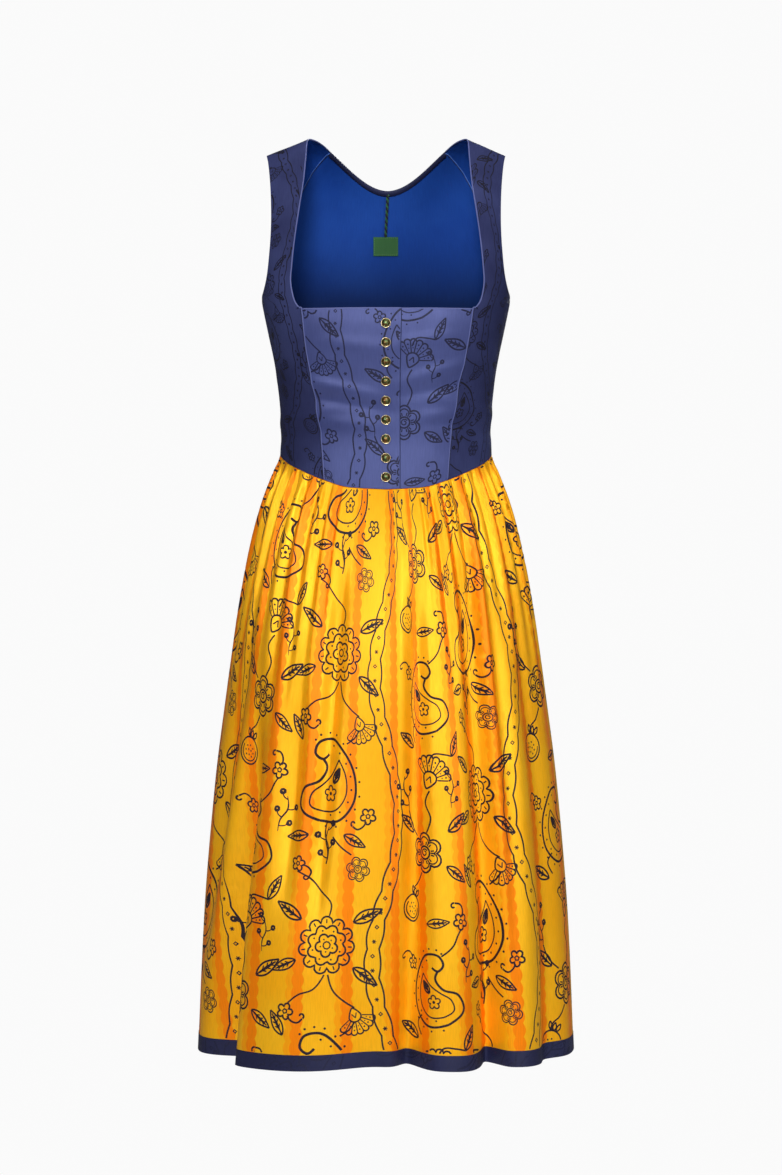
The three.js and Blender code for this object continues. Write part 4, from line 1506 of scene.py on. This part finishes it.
def back_place(x, level):
    """A point on the outer cloth of the back."""
    return shifted(strap_point(x, np.sqrt(-level)))


on_back = back_place(
    np.linspace(LABEL_RIGHT, LABEL_LEFT, 25)[None, :], np.linspace(LABEL_BOTTOM, LABEL_TOP, 19)[:, None],
)
out = normals_of(on_back)
face = on_back - out * ON_LINING
shaders = [label_weave, label_weave]
add_sheet("label", face, out, LABEL_WALL, measured(on_back), shaders, ending="patch")

stitch_line = (on_back - out * (ON_LINING + LABEL_WALL + 0.05))[1:-1, 1:-1]
loop = stitch_line.reshape(-1, 3)[rim_loop(*stitch_line.shape[:2])]
stitches = [tube(loop[k:k + 2], STITCH_RADIUS, STITCH_SIDES) for k in range(0, len(loop) - 1, 2)]
points, faces, _, _ = merged(stitches)
stitched = add_object("label_stitches", points, faces, [label_thread], cloth=points[:, [0, 2]])
keep("label_stitches", stitched)

# The cord: two strands twisted round a line down the lining
CORD_POINTS = 90
CORD_TOP_Z = -57
CORD_TOP_X = 0.2
CORD_BOTTOM_X = -2.8
CORD_OFF_LINING = 2.5
CORD_PITCH = 8.5
STRAND_RADIUS = 1.05
cord_x = np.linspace(CORD_TOP_X, CORD_BOTTOM_X, CORD_POINTS)
cord_z = np.linspace(CORD_TOP_Z, LABEL_TOP + 0.4, CORD_POINTS)
line = back_place(cord_x, cord_z)
aside = back_place(cord_x + 0.5, cord_z) - line
along = to_unit(np.gradient(line, axis=0))
aside = to_unit(aside - along * (aside * along).sum(-1, keepdims=True))
out = np.cross(along, aside)
out *= np.sign(out[:, 1])[:, None]
line = line - out * (ON_LINING + CORD_OFF_LINING)
turn = 2 * np.pi * run_along(line)[:, None] / CORD_PITCH
strands = []
for start in (0, np.pi):
    spiral = np.cos(turn + start) * aside + np.sin(turn + start) * out
    strands.append(tube(line + STRAND_RADIUS * spiral, STRAND_RADIUS))
points, faces, cloth, slots = merged(strands)
cord = add_object("hanger_cord_twist", points, faces, [green_twist, black_twist], slots, cloth)
keep("hanger_cord", cord, "hanger_cord")

# Piping on the princess seams and the front of the neck, its paler colour a painted highlight, with a dark
# line beside the seams that is painted shadow
PIPING_RADIUS = 0.7
NECK_PIPING_RADIUS = 0.9
EDGE_RADIUS = 0.6
for side, column, beside_column, strap_column in (("right", 0, 1, -1), ("left", -1, -2, 0)):
    front = outer_grids[f"front_{side}"]
    outs = normals_of(front)
    seam, out = front[:, column], outs[:, column]
    add_trim(f"princess_piping_{side}", seam + out * 0.1, PIPING_RADIUS, piping_painted_highlight)
    # A dark cord beside the seam is painted shadow of the piping.
    beside = to_unit(seam - front[:, beside_column])
    shadow_line = seam + beside * 1.5 - out * 0.3
    add_trim(f"princess_stitching_{side}", shadow_line, EDGE_RADIUS, binding_and_shadow_lines)
    neck = front[-1] - outs[-1] * 0.7
    add_trim(f"neck_piping_front_{side}", neck, NECK_PIPING_RADIUS, piping_painted_highlight)
    strap = outer_grids[f"side_front_{side}"]
    neck = (strap - normals_of(strap) * 0.7)[BODY_ROWS * ROW_SPLITS:, strap_column]
    add_trim(f"neck_piping_strap_{side}", neck, NECK_PIPING_RADIUS, piping_painted_highlight)

# A dark cord along the edge of the lap: painted shadow of the lap's step.
lap = outer_grids["front_right"]
add_trim("lap_edge", (lap - normals_of(lap) * 0.5)[:, -1], EDGE_RADIUS, binding_and_shadow_lines)

# The binding folds over the back neck and shows as a band on the lining: each
# corner of its section by how far down and how far out it lies
BINDING_SECTION = [
    (3.0, 0.5), (1.0, 0.7), (-0.5, 0.3), (-1.0, -1.5), (-0.6, -3.4), (1.0, -3.9),
    (6.2, -3.7), (6.2, -3.2), (1.0, -3.2), (0.3, -2.9), (0.3, 0.1), (3.0, 0.1),
]
NECK_COLUMNS = slice(24, 73)
back = outer_grids["centre_back"]
top, top_out = back[-1], normals_of(back)[-1]
down = to_unit(back[-1 - ROW_SPLITS] - top)
section = np.array([top + down * low + top_out * out for low, out in BINDING_SECTION])
section = section[:, NECK_COLUMNS]
around_section, along_neck = section.shape[:2]
points = section.transpose(1, 0, 2).reshape(-1, 3)
faces = ring_faces(along_neck, around_section, flipped=True)
faces += end_faces(along_neck, around_section, flipped=True)
run = np.repeat(run_along(top[NECK_COLUMNS]), around_section)
cloth = np.stack([run, np.tile(np.arange(around_section) * 1.5, along_neck)], -1)
bound = add_object("neck_binding", points, faces, [binding_and_shadow_lines], cloth=cloth)
keep("neck_binding", bound)

# A raised seam on the lining, where each strap meets the back, paler as a painted highlight, and a dark
# line below it that is painted shadow
SEAM_DEPTH = WALL + LAYER_GAP + LINING_WALL + 0.3
SEAM_RADIUS = 0.8
SHADOW_LINE_RADIUS = 0.7
SHADOW_LINE_BELOW = 1.7
seam = top - top_out * SEAM_DEPTH
for side, part in (("left", slice(2, 25)), ("right", slice(72, 95))):
    add_trim(f"strap_seam_{side}", seam[part], SEAM_RADIUS, seam_royal_painted_highlight)
    shadow_line = (seam + SHADOW_LINE_BELOW * down)[part]
    add_trim(f"strap_stitching_{side}", shadow_line, SHADOW_LINE_RADIUS, binding_and_shadow_lines)

for piece in pieces.values():
    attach(piece, "root")

# Sheets: width, length and area of the cut that shows, in metres, and how each is held
SHEETS = {
    "front": (0.13, 0.225, 0.0235, "stretched"),
    "side_front": (0.13, 0.56, 0.039, "stretched"),
    "side_back": (0.125, 0.26, 0.025, "stretched"),
    "centre_back": (0.26, 0.41, 0.071, "stretched"),
    "skirt": (0.8, 0.72, None, "gathered"),
    "hem_band": (0.83, 0.02, None, "folded"),
    "label": (0.032, 0.0245, None, "laid"),
}
for name, piece in pieces.items():
    kind = name.removeprefix("lining_")
    for ending in ("_left", "_right", "_front", "_back"):
        if kind not in SHEETS:
            kind = kind.removesuffix(ending)


# The camera, in metres
CAMERA_DISTANCE = 3.3
CAMERA_X = 0.00625
CAMERA_Z = -0.562
FOCAL_PIXELS = 2640
PHOTO_HEIGHT = 1175
SENSOR = 36
camera_data = bpy.data.cameras.new("camera")
camera_data.sensor_width = SENSOR
camera_data.lens = FOCAL_PIXELS * SENSOR / PHOTO_HEIGHT
camera = linked("camera", camera_data)
camera.location = (CAMERA_X, -CAMERA_DISTANCE, CAMERA_Z)
camera.rotation_euler = (math.pi / 2, 0, 0)
bpy.context.scene.camera = camera

# Lights: name, place and size in metres, and power in watts
LIGHTS = [
    ("key", (-0.3, -3.6, 0.75), 0.8, 108),
    ("fill", (1.7, -2.7, 0.2), 1.0, 22),
    ("top", (0.2, -0.6, 2.0), 1.2, 16),
    ("behind", (0.6, 2.8, 0.8), 1.6, 72),
]
MIDDLE = (0, 0, -0.55)
for name, place, size, power in LIGHTS:
    data = bpy.data.lights.new(name, "AREA")
    data.shape = "DISK"
    data.size = size
    data.energy = power
    light = linked(name, data)
    light.location = place
    x, y, z = np.subtract(MIDDLE, place)
    light.rotation_euler = (math.atan2(math.hypot(x, y), -z), 0, math.atan2(y, x) - math.pi / 2)

WORLD_STRENGTH = 0.16
bpy.context.scene.view_settings.view_transform = "Standard"
world = bpy.data.worlds.new("studio")
world.use_nodes = True
background = world.node_tree.nodes["Background"]
background.inputs[0].default_value = (1, 1, 1, 1)
background.inputs[1].default_value = WORLD_STRENGTH
bpy.context.scene.world = world

FLOOR_Z = -1600
FLOOR_RADIUS = 1300
FLOOR_SIDES = 128
floor_shader = Shader("pale_floor", 0.9)
floor_shader.colour((0.9, 0.9, 0.9, 1))
disc = np.insert(FLOOR_RADIUS * directions(evenly(FLOOR_SIDES)), 2, FLOOR_Z, axis=1)
floor = add_object("floor", disc, [tuple(range(FLOOR_SIDES))], [floor_shader])

# A white backdrop all round, which the camera sees and which gives no light
BACKDROP_RADIUS = 30
bpy.ops.mesh.primitive_uv_sphere_add(segments=32, ring_count=16, radius=BACKDROP_RADIUS)
backdrop = bpy.context.object
backdrop.name = "backdrop"
white = Shader("white_backdrop", 1.0, specular=0.0)
white.colour((0, 0, 0, 1))
white.put(white.base, "Emission Color", (0.96, 0.96, 0.96, 1))
white.put(white.base, "Emission Strength", 1.0)
backdrop.data.materials.append(white.material)
for ray in ("diffuse", "glossy", "transmission", "shadow"):
    setattr(backdrop, f"visible_{ray}", False)
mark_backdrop(floor, backdrop)

boxes = {"cad": cad_box, "visual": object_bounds()}
boxes = {name: [list(corner) for corner in box] for name, box in boxes.items()}
